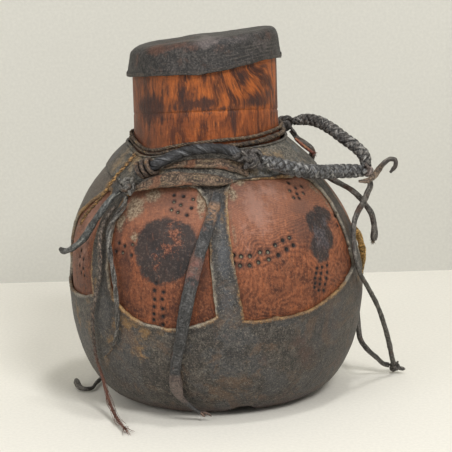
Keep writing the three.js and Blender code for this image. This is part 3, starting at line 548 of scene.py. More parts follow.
# Painted shade: the belly darker towards the bottom, and lighter and cooler towards the top.
painted_low_shade = wood.mixed(wood.between(place_z, 0.082, 0.15), (0.74, 0.72, 0.72, 1), (1.12, 1.14, 1.2, 1))
belly_colour = wood.layered(
    wood.mixed(1.0, belly_colour, painted_low_shade, "MULTIPLY"),
    (wood.broken("veil", 1.8, 200, 6, 0.78), 0.3, 0.85, (182, 140, 124), 0.5),
    (wood.plus(place_z, wood.times(patches, 0.035)), 0.128, 0.165, (114, 84, 71), 0.5),
)
low_neck = wood.mixed(wood.between(broad_streaks, 0.34, 0.64), (84, 42, 23), (146, 77, 36))
high_neck = wood.mixed(wood.between(broad_streaks, 0.38, 0.58), (64, 31, 17), (158, 84, 34))
# The neck's tones and streaks; the last tint is painted shade, greyer and darker on the neck's left side.
neck_colour = wood.layered(
    wood.mixed(above_line, low_neck, high_neck),
    (streaks, 0.54, 0.68, (42, 20, 14), 0.7),
    (streaks, 0.45, 0.3, (190, 104, 44), 0.55),
    (fine_streaks, 0.53, 0.68, (36, 18, 13), 0.6),
    (fine_streaks, 0.45, 0.3, (204, 122, 60), 0.5),
    (place_x, -0.018, -0.05, (76, 56, 48), 0.5, is_neck),
)
# What is burned black: with ash and embers' red-brown in it on the discs, and blown over the neck as smoke.
ash_colour = wood.mixed(wood.between(flecks, 0.46, 0.56), (46, 45, 50), (88, 85, 88))
ember_colour = wood.mixed(wood.between(flecks, 0.46, 0.55), (72, 38, 28), (158, 96, 66))
char = wood.layered(
    wood.mixed(wood.between(patches, 0.4, 0.6), (27, 25, 26), (40, 36, 35)),
    (wood.broken("ash", 2.0, 170, 6, 0.75), 0.35, 0.8, ash_colour, 0.8),
    (wood.broken("ember", 3.4, 250, 6, 0.8), 0.45, 0.85, ember_colour, 0.75),
    (short_lines, 0.56, 0.68, (110, 70, 52), 0.35),
    (flecks, 0.52, 0.62, (92, 82, 78), 0.45),
)
smoke_streak = wood.plus(wood.plus(streaks, -0.5), wood.plus(broad_streaks, -0.5))
smoke = wood.plus(wood.painted("smoke"), wood.times(smoke_streak, 1.7))
smoke_colour = wood.mixed(wood.between(fine_streaks, 0.42, 0.62), (27, 23, 27), (66, 38, 28))
chalk_edge = wood.broken("chalk", 0.9, 210, 5, 0.7)
chalk_colour = wood.mixed(wood.between(flecks, 0.42, 0.58), (92, 80, 66), (150, 138, 116))
colour = wood.layered(
    wood.mixed(is_neck, belly_colour, neck_colour),
    (smoke, 0.28, 0.85, smoke_colour, 0.88),
    (wood.broken("scorch", 9.0, 190, 6, 0.75), -1.8, 1.6, char, 0.94),
    (chalk_edge, 0.38, 0.72, chalk_colour, 0.8),
)
# Painted shade: near black on the wood's lowest part and down inside the neck.
colour = wood.mixed(wood.painted("under"), colour, (26, 20, 18))
# Each dot is dark with a singed edge, and the upper ones hold pale dust.
dot = wood.painted("dot")
colour = wood.mixed(wood.between(dot, -0.75, -0.1), colour, wood.mixed(0.5, colour, (48, 27, 21)))
colour = wood.mixed(wood.between(dot, 0.05, 0.3), colour, (24, 19, 18))
pale_pits = wood.times(wood.between(wood.noise(95, 2), 0.5, 0.56), wood.between(place_z, 0.1, 0.118))
pit_fill = wood.mixed(wood.between(flecks, 0.4, 0.6), (84, 80, 64), (136, 130, 108))
colour = wood.mixed(wood.times(wood.between(dot, 0.42, 0.6), pale_pits), colour, pit_fill)
relief = wood.weighed((contour, 0.22), (wood.noise(900, 3), 0.6), (fine_streaks, 0.9), (flecks, 0.9))
shine = wood.plus(0.4, wood.times(wood.noise(120, 4), 0.3))
shine = wood.plus(shine, wood.times(wood.between(chalk_edge, 0.38, 0.72), 0.3), True)
burned_wood = wood.finish(colour, shine, Normal=wood.raised(relief, 0.0004, 0.8), Specular_IOR_Level=0.32)
dressed(flask, burned_wood, "wood", "vessel", "wooden_flask")

# The hide jacket: one raw hide, pulled wet over the belly and dried hard, with six windows cut through it that leave
# straps between them. The cut edges curl up and show pale fibres, and the base edge is worn through at one place.
FIT_GAP = 0.3
HIDE_THICKNESS = 2.4
JACKET_TOP_HEIGHT = 171
HIDE_STEPS_ROUND = 420
HIDE_FINE_STEP = 1.4
HIDE_COARSE_STEP = 3.0
HIDE_FINE_HEIGHT = 60
EDGE_CURL = 0.45
EDGE_CURL_REACH = 3.0
WINDOW_CORNER = 20
WINDOW_FLARE = 4
NOTCH_DEGREES = 12
NOTCH_WIDTH = 19
NOTCH_HEIGHT = 7.6
NOTCH_INSIDE = 40.6
WINDOW_LOWEST = 40
# The windows: degrees round on both sides, the sill at its left, middle and right, and the head at its left and right.
WINDOWS = [
    (-45, 0, (84.0, 67.4, 76.1), (159.3, 159.3)),
    (8, 68, (72.6, 74.4, 93.6), (162.8, 157.5)),
    (77, 126, (87.5, 73.5, 82.3), (157.5, 155.8)),
    (135, 184, (80.5, 70.0, 78.8), (157.5, 159.3)),
    (193, 244, (77.0, 68.3, 84.0), (157.5, 154.0)),
    (266, 306, (84.0, 78.8, 84.0), (119.0, 159.3)),
]


def far_along(line):
    """How far along a line each of its points lies."""
    return np.concatenate(((0,), np.cumsum(np.linalg.norm(np.diff(line, axis=0), axis=1))))


def evenly(line, spacing):
    """A line's points set at even distances."""
    far = far_along(line)
    stops = np.linspace(0, far[-1], max(3, round(far[-1] / spacing) + 1))
    return np.stack([np.interp(stops, far, line[:, k]) for k in range(line.shape[1])], axis=1)


def window_outline(left_degrees, right_degrees, sill, head):
    """A window's outline laid flat, as degrees round and height."""
    left, right = math.radians(left_degrees) * BELLY_RADIUS, math.radians(right_degrees) * BELLY_RADIUS
    fall = (head[1] - head[0]) / (right - left) * WINDOW_CORNER
    shoulder_left, shoulder_right = head[0] - WINDOW_CORNER, head[1] - WINDOW_CORNER
    middle = (left + right) / 2
    corner_right, corner_left = (right - WINDOW_CORNER, head[1] - fall), (left + WINDOW_CORNER, head[0] + fall)
    foot_left, foot_right = (left + WINDOW_FLARE, sill[0]), (right, sill[2])
    curves = [
        (foot_left, (middle, 2 * sill[1] - (sill[0] + sill[2]) / 2), foot_right),
        (foot_right, (right - WINDOW_FLARE, (sill[2] + shoulder_right) / 2), (right, shoulder_right)),
        ((right, shoulder_right), (right, head[1]), corner_right),
        (corner_right, (middle, (head[0] + head[1]) / 2), corner_left),
        (corner_left, (left, head[0]), (left, shoulder_left)),
        ((left, shoulder_left), (left - WINDOW_FLARE, (sill[0] + shoulder_left) / 2), foot_left),
    ]
    t = np.linspace(0, 1, 40, endpoint=False)[:, None]
    line = np.vstack([
        (1 - t) ** 2 * np.array(a) + 2 * t * (1 - t) * np.array(b) + t ** 2 * np.array(c) for a, b, c in curves
    ])
    return np.stack((np.degrees(line[:, 0] / BELLY_RADIUS), line[:, 1]), axis=1)


def within(outline, places):
    """Which places lie inside a closed flat outline."""
    inside = np.zeros(len(places), bool)
    x, y = places.T
    for (x0, y0), (x1, y1) in zip(outline, np.roll(outline, -1, axis=0)):
        if y0 != y1:
            crosses = (y0 > y) != (y1 > y)
            inside ^= crosses & (x < (x1 - x0) * (y - y0) / (y1 - y0) + x0)
    return inside


def roughened(piece, strength, size, middle=0.5, depth=3):
    """Presses a cloudy unevenness into a piece's surface, with its strength and its size in millimetres."""
    clouds = bpy.data.textures.new(piece.name + "_clouds", "CLOUDS")
    clouds.noise_scale = size * MM
    clouds.noise_depth = depth
    only(piece)
    displace = piece.modifiers.new("uneven", "DISPLACE")
    displace.texture = clouds
    displace.texture_coords = "LOCAL"
    displace.mid_level = middle
    displace.strength = strength * MM
    bpy.ops.object.modifier_apply(modifier=displace.name)
    bpy.data.textures.remove(clouds)


def spun(line, columns):
    """A side line turned round the middle: reach, degrees and height of each point, ring after ring."""
    degrees = np.tile(np.arange(columns) * 360 / columns - 180, len(line))
    return np.repeat(line[:, 0], columns), degrees, np.repeat(line[:, 1], columns)


def ring_faces(rows, columns):
    """The faces between rings of points that follow one another."""
    index = np.arange(rows * columns).reshape(rows, columns)
    beside = np.roll(index, -1, axis=1)
    return np.stack((index[:-1], beside[:-1], beside[1:], index[1:]), axis=-1).reshape(-1, 4)


def walled(piece, thickness):
    """Gives an open skin a wall behind it, with a thickness in millimetres."""
    wall = piece.modifiers.new("wall", "SOLIDIFY")
    wall.thickness = thickness * MM
    wall.offset = -1
    only(piece)
    bpy.ops.object.modifier_apply(modifier=wall.name)
    bpy.ops.object.shade_smooth()


rng = np.random.default_rng(7)
hide_side = belly_outline(FIT_GAP + HIDE_THICKNESS, 90)
hide_side = hide_side[hide_side[:, 1] <= JACKET_TOP_HEIGHT]
low_side = evenly(hide_side[hide_side[:, 1] <= HIDE_FINE_HEIGHT], HIDE_COARSE_STEP)
high_side = evenly(hide_side[hide_side[:, 1] >= HIDE_FINE_HEIGHT], HIDE_FINE_STEP)
hide_rings = np.vstack((low_side, high_side))
reach, degrees, heights = spun(hide_rings, HIDE_STEPS_ROUND)
faces = ring_faces(len(hide_rings), HIDE_STEPS_ROUND)
middle_degrees = degrees[faces[:, 0]] + 180 / HIDE_STEPS_ROUND
middle_heights = heights[faces].mean(axis=1)
kept = np.ones(len(faces), bool)
outlines = []
for window in WINDOWS:
    outline = window_outline(*window)
    wear = np.tile(rng.normal(0, 1, len(outline)), 3)
    wear = np.convolve(wear, np.ones(5) / 5, "same")[len(outline):2 * len(outline)]
    centre = outline.mean(axis=0)
    outline = centre + (outline - centre) * (1 + 0.55 * wear / 40)[:, None]
    turned = (middle_degrees - centre[0] + 180) % 360 - 180 + centre[0]
    kept &= ~within(outline, np.stack((turned, middle_heights), axis=1))
    outlines.append(outline)
across = reach * np.sin(np.radians(degrees - NOTCH_DEGREES))
ahead_of = reach * np.cos(np.radians(degrees - NOTCH_DEGREES))
arch = NOTCH_HEIGHT * np.sqrt(np.clip(1 - (across / (NOTCH_WIDTH / 2)) ** 2, 0, 1))
in_notch = (ahead_of > NOTCH_INSIDE) & (heights < arch) & (np.abs(across) < NOTCH_WIDTH / 2)
kept &= ~in_notch[faces].any(axis=1)
# The corners on a cut edge move onto the edge's own line.
on_arch = np.intersect1d(faces[kept], faces[in_notch[faces].any(axis=1)])
on_arch = on_arch[(np.abs(across[on_arch]) < NOTCH_WIDTH / 2 - 0.5) & (heights[on_arch] > 1)]
heights[on_arch] = np.maximum(arch[on_arch], 0.5)
reach[on_arch] = np.interp(heights[on_arch], hide_side[1:, 1], hide_side[1:, 0])
outline_places = np.vstack([evenly(np.vstack((line, line[:1])), 0.35) for line in outlines])
line_radius = np.interp(outline_places[:, 1], hide_side[1:, 1], hide_side[1:, 0])
outline_points = round_points(line_radius, *outline_places.T)
points = round_points(reach, degrees, heights)
cut_corners = np.intersect1d(faces[kept], faces[~kept])
cut_corners = cut_corners[heights[cut_corners] > WINDOW_LOWEST]
_, which = nearest(points[cut_corners], outline_points)
points[cut_corners] = outline_points[which]
from_edge = nearest(points, outline_points)[0]
curl = np.clip(1 - from_edge / EDGE_CURL_REACH, 0, 1) ** 2 * (heights > WINDOW_LOWEST)
wave = np.sin(degrees * 1.9 + heights * 0.31) * 0.5 + np.sin(degrees * 0.7 - heights * 0.53) * 0.5
away = round_points(1.0, degrees, (heights - BELLY_HEIGHT) / 110)
points += away * (EDGE_CURL * curl * (0.75 + 0.35 * wave))[:, None]
jacket = mesh_piece("shrunk_hide_jacket", carved(points), faces[kept].tolist())
paint(jacket, "edge", from_edge)
# The ochre stains, the rusty patches, a painted grey-blue sheen on the straps and the smooth brown shoulder.
paint_spots(jacket, degrees, heights, ochre=[
    (-34, 72, 9, 8, 1.0), (-28, 64, 8, 7, 0.8), (-42, 66, 6, 8, 0.9), (-22, 66, 6, 4, 0.7), (-52, 92, 3, 8, 0.9),
    (-60, 60, 10, 16, 0.6), (-75, 80, 6, 14, 0.7), (-50, 40, 7, 9, 0.5), (12, 70, 9, 3, 0.7), (30, 68, 8, 3, 0.6),
    (-64, 150, 5, 12, 0.8), (-72, 140, 4, 8, 0.7), (-82, 128, 8, 12, 0.5), (-80, 96, 4, 12, 0.8), (-70, 64, 5, 14, 0.7),
    (-46, 54, 10, 7, 0.8), (-33, 50, 12, 8, 0.8), (-24, 56, 8, 6, 0.6), (-58, 78, 4, 10, 0.8), (-50, 30, 10, 8, 0.5),
    (5, 139, 3, 6, 0.9), (70, 100, 3, 14, 0.8),
    (72, 84, 5, 5, 0.8), (160, 66, 12, 6, 0.8), (215, 60, 12, 6, 0.8), (100, 64, 10, 6, 0.6),
], rust=[
    (38, 42, 9, 8, 0.9), (33, 54, 7, 5, 0.7), (48, 56, 7, 6, 0.7), (18, 44, 5, 5, 0.6), (-10, 20, 16, 5, 0.5),
    (30, 14, 16, 5, 0.6), (-45, 22, 12, 6, 0.5), (60, 30, 8, 9, 0.6), (-20, 52, 7, 5, 0.4), (5, 60, 10, 6, 0.4),
    (180, 40, 16, 12, 0.7), (120, 45, 12, 9, 0.7), (250, 40, 12, 9, 0.7),
], strap=[
    (4, 140, 5, 12, 1.0), (4, 112, 5, 22, 1.0), (4, 88, 6, 14, 0.9), (73, 120, 4, 26, 0.7),
    (131, 115, 5, 30, 0.8), (189, 115, 5, 30, 0.8),
], shoulder=[(-78, 148, 26, 20, 1.6), (-92, 128, 12, 9, 1.2)])
only(jacket)
bpy.ops.object.mode_set(mode="EDIT")
bpy.ops.mesh.select_all(action="SELECT")
bpy.ops.mesh.remove_doubles(threshold=0.02 * MM)
bpy.ops.object.mode_set(mode="OBJECT")
roughened(jacket, 0.9, 26, 0.95, 2)
roughened(jacket, 0.34, 3.2, 0.8, 3)
walled(jacket, HIDE_THICKNESS - 0.3)


def shaded(colour, share):
    """A screen colour made darker or lighter, as the shader takes it."""
    return tuple(share * c for c in linear(*colour)[:3]) + (1,)


class Leather(Surface):
    """Old leather: two tones in soft patches, a pebbly grain, fine scratches, and pale specks."""

    def __init__(self, name, dark, light, place=None):
        super().__init__(name)
        if place:
            self.place = self.painted(place, "Vector")
        self.patches = self.noise(48, 5, 0.62)
        self.mottle = self.noise(230, 7, 0.75)
        self.pebble = self.node("TexVoronoi", {"Vector": self.place, "Scale": 620}, feature="F1").outputs["Distance"]
        self.fine = self.noise(760, 5, 0.78)
        self.scratch = self.noise(380, 4, 0.7, self.stretched((0.12, 1, 1), (35, 20, 50)), 0.6)
        self.colour = self.mixed(self.between(self.patches, 0.34, 0.68), dark, light)
        self.tinted(
            (self.mottle, 0.5, 0.42, shaded(dark, 0.42), 0.75),
            (self.mottle, 0.51, 0.6, shaded(light, 1.7), 0.5),
            (self.fine, 0.52, 0.62, shaded(light, 2.6), 0.42),
            (self.fine, 0.48, 0.4, shaded(dark, 0.35), 0.6),
            (self.scratch, 0.6, 0.68, shaded(light, 2.4), 0.4),
            (self.pebble, 0.5, 0.15, shaded(dark, 0.45), 0.25),
        )

    def tinted(self, *tints):
        self.colour = self.layered(self.colour, *tints)

    def fibres(self, scale, detail, roughness, squeeze):
        """A pattern drawn out along the piece's length."""
        return self.noise(scale, detail, roughness, self.stretched((squeeze, 1, 1)))

    def stained(self, name, colour, share, size, low=0.3):
        """A stain where the painted field says, with a ragged and speckled edge."""
        speckled = self.times(self.plus(self.mottle, -0.5), 1.5)
        self.tinted((self.plus(self.broken(name, 1.5, size, 6, 0.75), speckled), low, 0.97, colour, share))

    def done(self, low, depth, strength, high=0.3):
        """The finished material: its least roughness, its relief's depth in metres and strength, and more roughness."""
        worn = self.mixed(self.between(self.fine, 0.4, 0.62), (0.7, 0.7, 0.7, 1), (1.26, 1.26, 1.24, 1))
        relief = self.weighed((self.fine, 0.9), (self.pebble, 0.8), (self.scratch, 1.2), (self.mottle, 2.6))
        shine = self.plus(low, self.times(self.patches, high), True)
        return self.finish(
            self.mixed(1.0, self.colour, worn, "MULTIPLY"), shine,
            Normal=self.raised(relief, depth, strength), Specular_IOR_Level=0.5)


hide = Leather("dark_raw_hide", (38, 33, 29), (68, 61, 54))
# The first tint is a painted grey-blue sheen in patches; the others are brown, dark and pale patches in the hide.
hide.tinted(
    (hide.noise(24, 6, 0.72), 0.49, 0.58, (60, 64, 69), 0.45),
    (hide.noise(40, 6, 0.76, None, 0.8), 0.51, 0.6, (92, 68, 48), 0.58),
    (hide.noise(66, 6, 0.78, None, 0.4), 0.52, 0.6, (33, 27, 26), 0.55),
    (hide.noise(150, 6, 0.8), 0.53, 0.63, (104, 99, 90), 0.4),
)
# A faint weave runs through it.
cloth_x = hide.bands(190, hide.stretched((1, 1, 0.15)), 5.0, 3.0)
cloth_y = hide.bands(190, hide.stretched((0.15, 0.15, 1), (0, 90, 0)), 5.0, 3.0)
hide.tinted((hide.times(cloth_x, cloth_y), 0.35, 0.9, (90, 84, 76), 0.25))
hide.stained("shoulder", (76, 66, 57), 0.8, 40)
# Painted sheen: the straps lighter and grey-blue.
hide.stained("strap", (66, 71, 78), 0.6, 110)
hide.stained("rust", (78, 45, 32), 0.6, 90)
hide.stained("ochre", (132, 97, 50), 0.72, 75, 0.45)
torn = hide.times(hide.plus(hide.noise(420, 6, 0.85), -0.5), 9.0)
torn = hide.plus(torn, hide.times(hide.plus(hide.noise(44, 2), -0.5), 5.0))
pale_edge = hide.plus(hide.painted("edge"), torn)
edge_tone = hide.noise(24, 3, 0.6)
edge_colour = hide.mixed(hide.between(edge_tone, 0.42, 0.52), (104, 98, 90), (120, 88, 54))
fringe_colour = hide.mixed(hide.between(edge_tone, 0.44, 0.56), (150, 141, 124), (158, 124, 78))
fringed = hide.between(hide.noise(60, 4, 0.7), 0.34, 0.5)
hide_x, _, hide_z = hide.node("SeparateXYZ", {0: hide.place}).outputs
# A dark band lies a few millimetres in from each cut edge, partly dirt and partly painted shade that makes the straps
# look rounded; then comes the pale cut edge.
hide.tinted(
    (hide.noise(310, 6, 0.85), 0.55, 0.66, (40, 35, 33), 0.5),
    (pale_edge, 5.6, 2.4, (29, 26, 24), 0.5),
    (pale_edge, 2.0, 0.8, edge_colour, 0.75),
    (pale_edge, 0.9, -0.3, fringe_colour, 0.92, fringed),
    (hide.noise(1050, 3, 0.8), 0.56, 0.66, (150, 144, 132), 0.5),
    # Painted shade: the hide darker towards its right side.
    (hide_x, 0.02, 0.075, (44, 36, 31), 0.24),
    (hide_z, 0.012, 0.0, (60, 34, 28), 0.85),
)
dressed(jacket, hide.done(0.36, 0.0005, 0.75, 0.34), "hide", "vessel", "hide_jacket")

# The shoulder yoke: a leather collar drawn over the jacket's top and up against the neck, with a wavy lower edge.
# At the front left its leather is folded over in two rolls. It is an olive grey, stained with ochre.
YOKE_THICKNESS = 1.6
YOKE_EDGE_HEIGHT = 160
YOKE_WAVE = 3
YOKE_LOBES = 3
YOKE_UPSTAND = 2.5
YOKE_DIP = 4.4
YOKE_STEPS_ROUND = 400
ROLL_THICKNESS = 3.4
LOWER_ROLL = [
    (-39.5, 155.2), (-35, 157.3), (-30.6, 159.7), (-23.5, 162), (-17.4, 163), (-11, 163.3), (-5, 163), (2.9, 162.2),
    (8.5, 161.3), (14, 161),
]
LOWER_ROLL_WIDTH = 11
LOWER_ROLL_SHAPE = [
    (0, 0.4, 0.3), (0.07, 0.55, 0.7), (0.22, 0.92, 1), (0.4, 1.08, 1.1), (0.62, 0.98, 1), (0.82, 0.9, 0.9),
    (0.92, 0.62, 0.6), (1, 0.3, 0.1),
]
LOWER_ROLL_CLEARANCE = 1.4
UPPER_ROLL = [
    (-26, 168.6), (-22, 170), (-15.8, 171.2), (-8.9, 171.7), (-1.8, 171.8), (5, 171.6), (11.6, 170.8), (18, 168.6),
    (24, 166),
]
UPPER_ROLL_WIDTH = 8.6
UPPER_ROLL_SHAPE = [
    (0, 0.3, 0.2), (0.1, 0.55, 0.7), (0.3, 0.86, 1), (0.6, 1.0, 1.05), (0.8, 1.12, 0.85), (1, 1.3, 0.08),
]
UPPER_ROLL_CLEARANCE = 0.4


def smooth_path(places, spacing):
    """Evenly spaced points on one smooth curve through some places."""
    places = np.asarray(places, float)
    knots = np.vstack((2 * places[0] - places[1], places, 2 * places[-1] - places[-2]))
    t = np.linspace(0, 1, 20, endpoint=False)[:, None]
    line = []
    for a, b, c, d in zip(knots, knots[1:], knots[2:], knots[3:]):
        before, here, after = (np.linalg.norm(q - p) ** 0.5 for p, q in ((a, b), (b, c), (c, d)))
        leaving = ((b - a) / before - (c - a) / (before + here) + (c - b) / here) * here
        reaching = ((c - b) / here - (d - b) / (here + after) + (d - c) / after) * here
        line.append(b * (2 * t ** 3 - 3 * t ** 2 + 1) + leaving * (t ** 3 - 2 * t ** 2 + t)
                    + c * (3 * t ** 2 - 2 * t ** 3) + reaching * (t ** 3 - t ** 2))
    return evenly(np.vstack((*line, places[-1:])), spacing)


def unit(vectors):
    return vectors / np.maximum(np.linalg.norm(vectors, axis=-1, keepdims=True), 1e-9)


def off_belly(line):
    """The directions that lead straight away from the belly."""
    return line - np.array((0, 0, BELLY_HEIGHT))


def directions(line, outward=None):
    """Along a line, outwards and sideways at each point. Without outward ones, they turn as little as they can."""
    along = unit(np.gradient(line, axis=0))
    if outward is None:
        carried = [off_belly(line[:1])[0]]
        for step in along[1:]:
            carried.append(carried[-1] - step * (carried[-1] @ step))
            carried[-1] = unit(carried[-1])
        outward = np.array(carried)
    outward = unit(outward - along * (outward * along).sum(axis=1, keepdims=True))
    return along, outward, np.cross(outward, along)


def rings_along(line, section, size=1.0, outward=None, twist=0.0):
    """Rings of a section, as sideways and outward places, along a line."""
    _, outward, aside = directions(line, outward)
    size = np.broadcast_to(size, len(line))[:, None]
    angle = np.broadcast_to(np.radians(twist), len(line))[:, None]
    u, v = section[..., 0] * size, section[..., 1] * size
    across, lifted = u * np.cos(angle) - v * np.sin(angle), u * np.sin(angle) + v * np.cos(angle)
    return line[:, None] + across[..., None] * aside[:, None] + lifted[..., None] * outward[:, None]


def oval(width, thickness, corners=12, squareness=1.0):
    """A section's corners: an oval, or with a squareness under 1 a strap with rounded edges."""
    angle = np.arange(corners) / corners * 2 * math.pi
    c, s = np.cos(angle), np.sin(angle)
    across, lifted = (np.sign(k) * np.abs(k) ** squareness for k in (c, s))
    return np.stack((across * width / 2, lifted * thickness / 2), axis=1)


def rounded_ends(line, radius, least=0.25):
    """Sizes along a line that close its two ends in a rounding."""
    far = far_along(line)
    share = np.clip(np.minimum(far, far[-1] - far) / radius, 0, 1)
    return np.maximum(least, np.sqrt(1 - (1 - share) ** 2))


def wandering(count, every, amount):
    """A smooth chance variation round 1 along a row of points."""
    stops = rng.normal(0, 1, count // every + 4)
    return 1 + amount * np.interp(np.arange(count) / every, np.arange(len(stops)), stops)


def tube_piece(name, tubes, rough=None):
    """One object from closed tubes, each a pile of rings, with every point's straightened place along its tube."""
    points, faces, straight = [], [], []
    start = 0
    for number, rings in enumerate(tubes):
        count, corners = rings.shape[:2]
        first, last = np.arange(corners) + start, np.arange(corners) + start + (count - 1) * corners
        faces += (start + ring_faces(count, corners)).tolist()
        faces += [first[::-1].tolist(), last.tolist()]
        centre = rings.mean(axis=1)
        radius = np.linalg.norm(rings - centre[:, None], axis=2)
        angle = np.arange(corners) / corners * 2 * math.pi
        along = np.repeat(far_along(centre)[:, None], corners, axis=1) + 37 * number
        place = np.stack((along, radius * np.cos(angle), radius * np.sin(angle) + 11 * number), axis=-1)
        points.append(rings.reshape(-1, 3))
        straight.append(place.reshape(-1, 3))
        start += count * corners
    piece = mesh_piece(name, np.vstack(points), faces)
    layer = piece.data.attributes.new("straight", "FLOAT_VECTOR", "POINT")
    layer.data.foreach_set("vector", (np.vstack(straight) * MM).astype(np.float32).ravel())
    smoothed(piece)
    if rough:
        roughened(piece, *rough)
    return piece


yoke_line = belly_outline(2 * FIT_GAP + HIDE_THICKNESS + YOKE_THICKNESS, 60)
yoke_line = yoke_line[yoke_line[:, 1] >= YOKE_EDGE_HEIGHT - 1]
neck_top = NECK_FOOT_HEIGHT + YOKE_UPSTAND
against_neck = neck_radius(neck_top) + 2 * FIT_GAP + HIDE_THICKNESS + YOKE_THICKNESS
yoke_line = evenly(np.vstack((yoke_line, ((against_neck, neck_top),))), 1.3)
rows, columns = len(yoke_line), YOKE_STEPS_ROUND
reach, degrees, heights = spun(yoke_line, columns)
share = np.clip((NECK_FOOT_HEIGHT - heights) / (NECK_FOOT_HEIGHT - YOKE_EDGE_HEIGHT), 0, 1)
nibble = np.interp(np.arange(columns), np.arange(0, columns + 1, 5), [*rng.normal(0, 0.45, columns // 5), 0])
push = share * (-YOKE_WAVE * np.sin(YOKE_LOBES * np.radians(degrees)) + np.tile(nibble, rows))
reach = reach + 0.8 * push
heights = heights - 0.6 * push
reach -= 1.1 * share ** 3
dip = YOKE_DIP * np.exp(-((degrees + 44) / 19) ** 2) * eased((heights - 166) / 9)
dipped, level = (np.interp(height, yoke_line[:, 1], yoke_line[:, 0]) for height in (heights - dip, heights))
reach += dipped - level
heights = heights - dip
angle = np.radians(degrees)
folds = 0.35 * share * np.sin(11 * angle + 2.1 * np.sin(3 * angle)) - 0.35 * share
points = round_points(reach + folds, degrees, heights)
yoke = mesh_piece("leather_yoke", carved(points), ring_faces(rows, columns).tolist())
paint(yoke, "edge", np.repeat(np.linalg.norm(yoke_line - yoke_line[0], axis=1), columns))
paint_spots(yoke, degrees, heights, ochre=[
    (36, 173, 12, 4, 1.1), (24, 168, 8, 5, 0.9), (50, 172, 9, 3, 0.9), (-52, 172, 9, 6, 1.0),
    (-66, 168, 6, 9, 0.9), (-30, 166, 7, 5, 0.8), (150, 168, 14, 5, 0.8), (230, 170, 14, 5, 0.8), (70, 166, 5, 3, 0.6),
], shoulder=[(-88, 168, 20, 14, 1.5), (-120, 168, 20, 12, 1.0)])
roughened(yoke, 0.5, 9, 0.9, 3)
walled(yoke, 0.5 * YOKE_THICKNESS)
yoke_leather = Leather("olive_yoke_leather", (50, 46, 41), (92, 87, 78))
yoke_leather.stained("shoulder", (76, 66, 57), 0.8, 40)
yoke_leather.stained("ochre", (138, 112, 78), 0.62, 260)
# Grey-blue patches, then painted shade: the yoke dark along the last millimetre of its lower edge, for the shadow line
# there.
yoke_leather.tinted(
    (yoke_leather.noise(60, 5, 0.7), 0.54, 0.66, (84, 90, 96), 0.5),
    (yoke_leather.painted("edge"), 1.3, 0.5, (44, 38, 34), 0.8),
)
dressed(yoke, yoke_leather.done(0.45, 0.0005, 0.8), "yoke_leather", "vessel", "shoulder_yoke")


def fold_of_leather(name, places, width, clearance, shape, creases, node):
    """A roll of folded leather lying on the yoke: a thick strap with long creases, whose ends run out into the yoke."""
    line = belly_outline(2 * FIT_GAP + HIDE_THICKNESS + YOKE_THICKNESS, 9)[1:]
    places = smooth_path(places, 1.0)
    shares, widths, lifts = np.array(shape).T
    lift = np.interp(np.linspace(0, 1, len(places)), shares, lifts)
    outside = (clearance + ROLL_THICKNESS / 2) * np.clip(lift * 1.1 - 0.15, 0, 1)
    points = round_points(np.interp(places[:, 1], line[:, 1], line[:, 0]) + outside, *places.T)
    path = smooth_path(carved(points)[::3], 0.8)
    far = np.linspace(0, 1, len(path))
    section = oval(width, ROLL_THICKNESS, 44, 0.8)
    across = section[:, 0] / (width / 2)
    wander = np.cumsum(rng.normal(0, 0.04, len(path)))
    wander -= far * wander[-1]
    rings = []
    for step in range(len(path)):
        press = sum(
            depth * np.exp(-((across - crease - (1 + k) * wander[step]) / 0.15) ** 2)
            for k, (crease, depth) in enumerate(creases))
        bulge = 1 + 0.14 * np.sin(step * 0.29 + 3 * across) + 0.1 * np.sin(step * 0.13 - 5 * across)
        lifted = (section[:, 1] * bulge - press * (section[:, 1] > 0)) * np.interp(far[step], shares, lifts)
        rings.append(np.stack((section[:, 0] * np.interp(far[step], shares, widths), lifted), axis=1))
    tube = rings_along(path, np.array(rings), wandering(len(path), 7, 0.05), off_belly(path))
    roll = tube_piece(name, [tube], (0.8, 2.2, 0.6, 3))
    surface = Leather(name + "_leather", (60, 47, 38), (104, 85, 69), "straight")
    fibres = surface.fibres(560, 5, 0.72, 0.13)
    surface.tinted(
        (fibres, 0.5, 0.66, (158, 138, 108), 0.55),
        (surface.noise(80, 4), 0.55, 0.66, (128, 80, 54), 0.55),
        (surface.fibres(60, 4, 0.6, 0.5), 0.45, 0.36, (84, 84, 84), 0.6),
        (fibres, 0.43, 0.29, (44, 34, 28), 0.6),
    )
    dressed(roll, surface.done(0.6, 0.0006, 1.0, 0.25), "yoke_leather", "vessel", node)


fold_of_leather("yoke_lower_fold", LOWER_ROLL, LOWER_ROLL_WIDTH, LOWER_ROLL_CLEARANCE, LOWER_ROLL_SHAPE,
                ((-0.3, 0.8), (0.35, 0.5)), "yoke_lower_roll")
fold_of_leather("yoke_upper_fold", UPPER_ROLL, UPPER_ROLL_WIDTH, UPPER_ROLL_CLEARANCE, UPPER_ROLL_SHAPE,
                ((-0.1, 0.6), (0.5, 0.35)), "yoke_upper_roll")

# The neck lashing: a thin brown cord of three twisted strands, wound twice round the neck's foot and pulled tight.
# The two turns show as two lines, and where they cross the cord is thicker and lies flat.
LASHING_DIAMETER = 2.8
LASHING_TURNS = 2
LASHING_START_DEGREES = 100
LASHING_PITCH = 3.0
LASHING_HEIGHT = 178.9
LASHING_RISE_TO_RIGHT = 0.02


def laid_strands(line, count, reach, pitch, strand, size=1.0, outward=None, corners=8):
    """The strands of a rope: each winds round the line and keeps its own section."""
    _, out, aside = directions(line, outward)
    far = far_along(line)
    size = np.broadcast_to(size, len(line))
    tubes = []
    for number in range(count):
        angle = 2 * math.pi * (far / pitch + number / count)
        away = np.cos(angle)[:, None] * aside + np.sin(angle)[:, None] * out
        tubes.append(rings_along(line + away * (reach * size)[:, None], oval(*strand, corners), size, away))
    return tubes


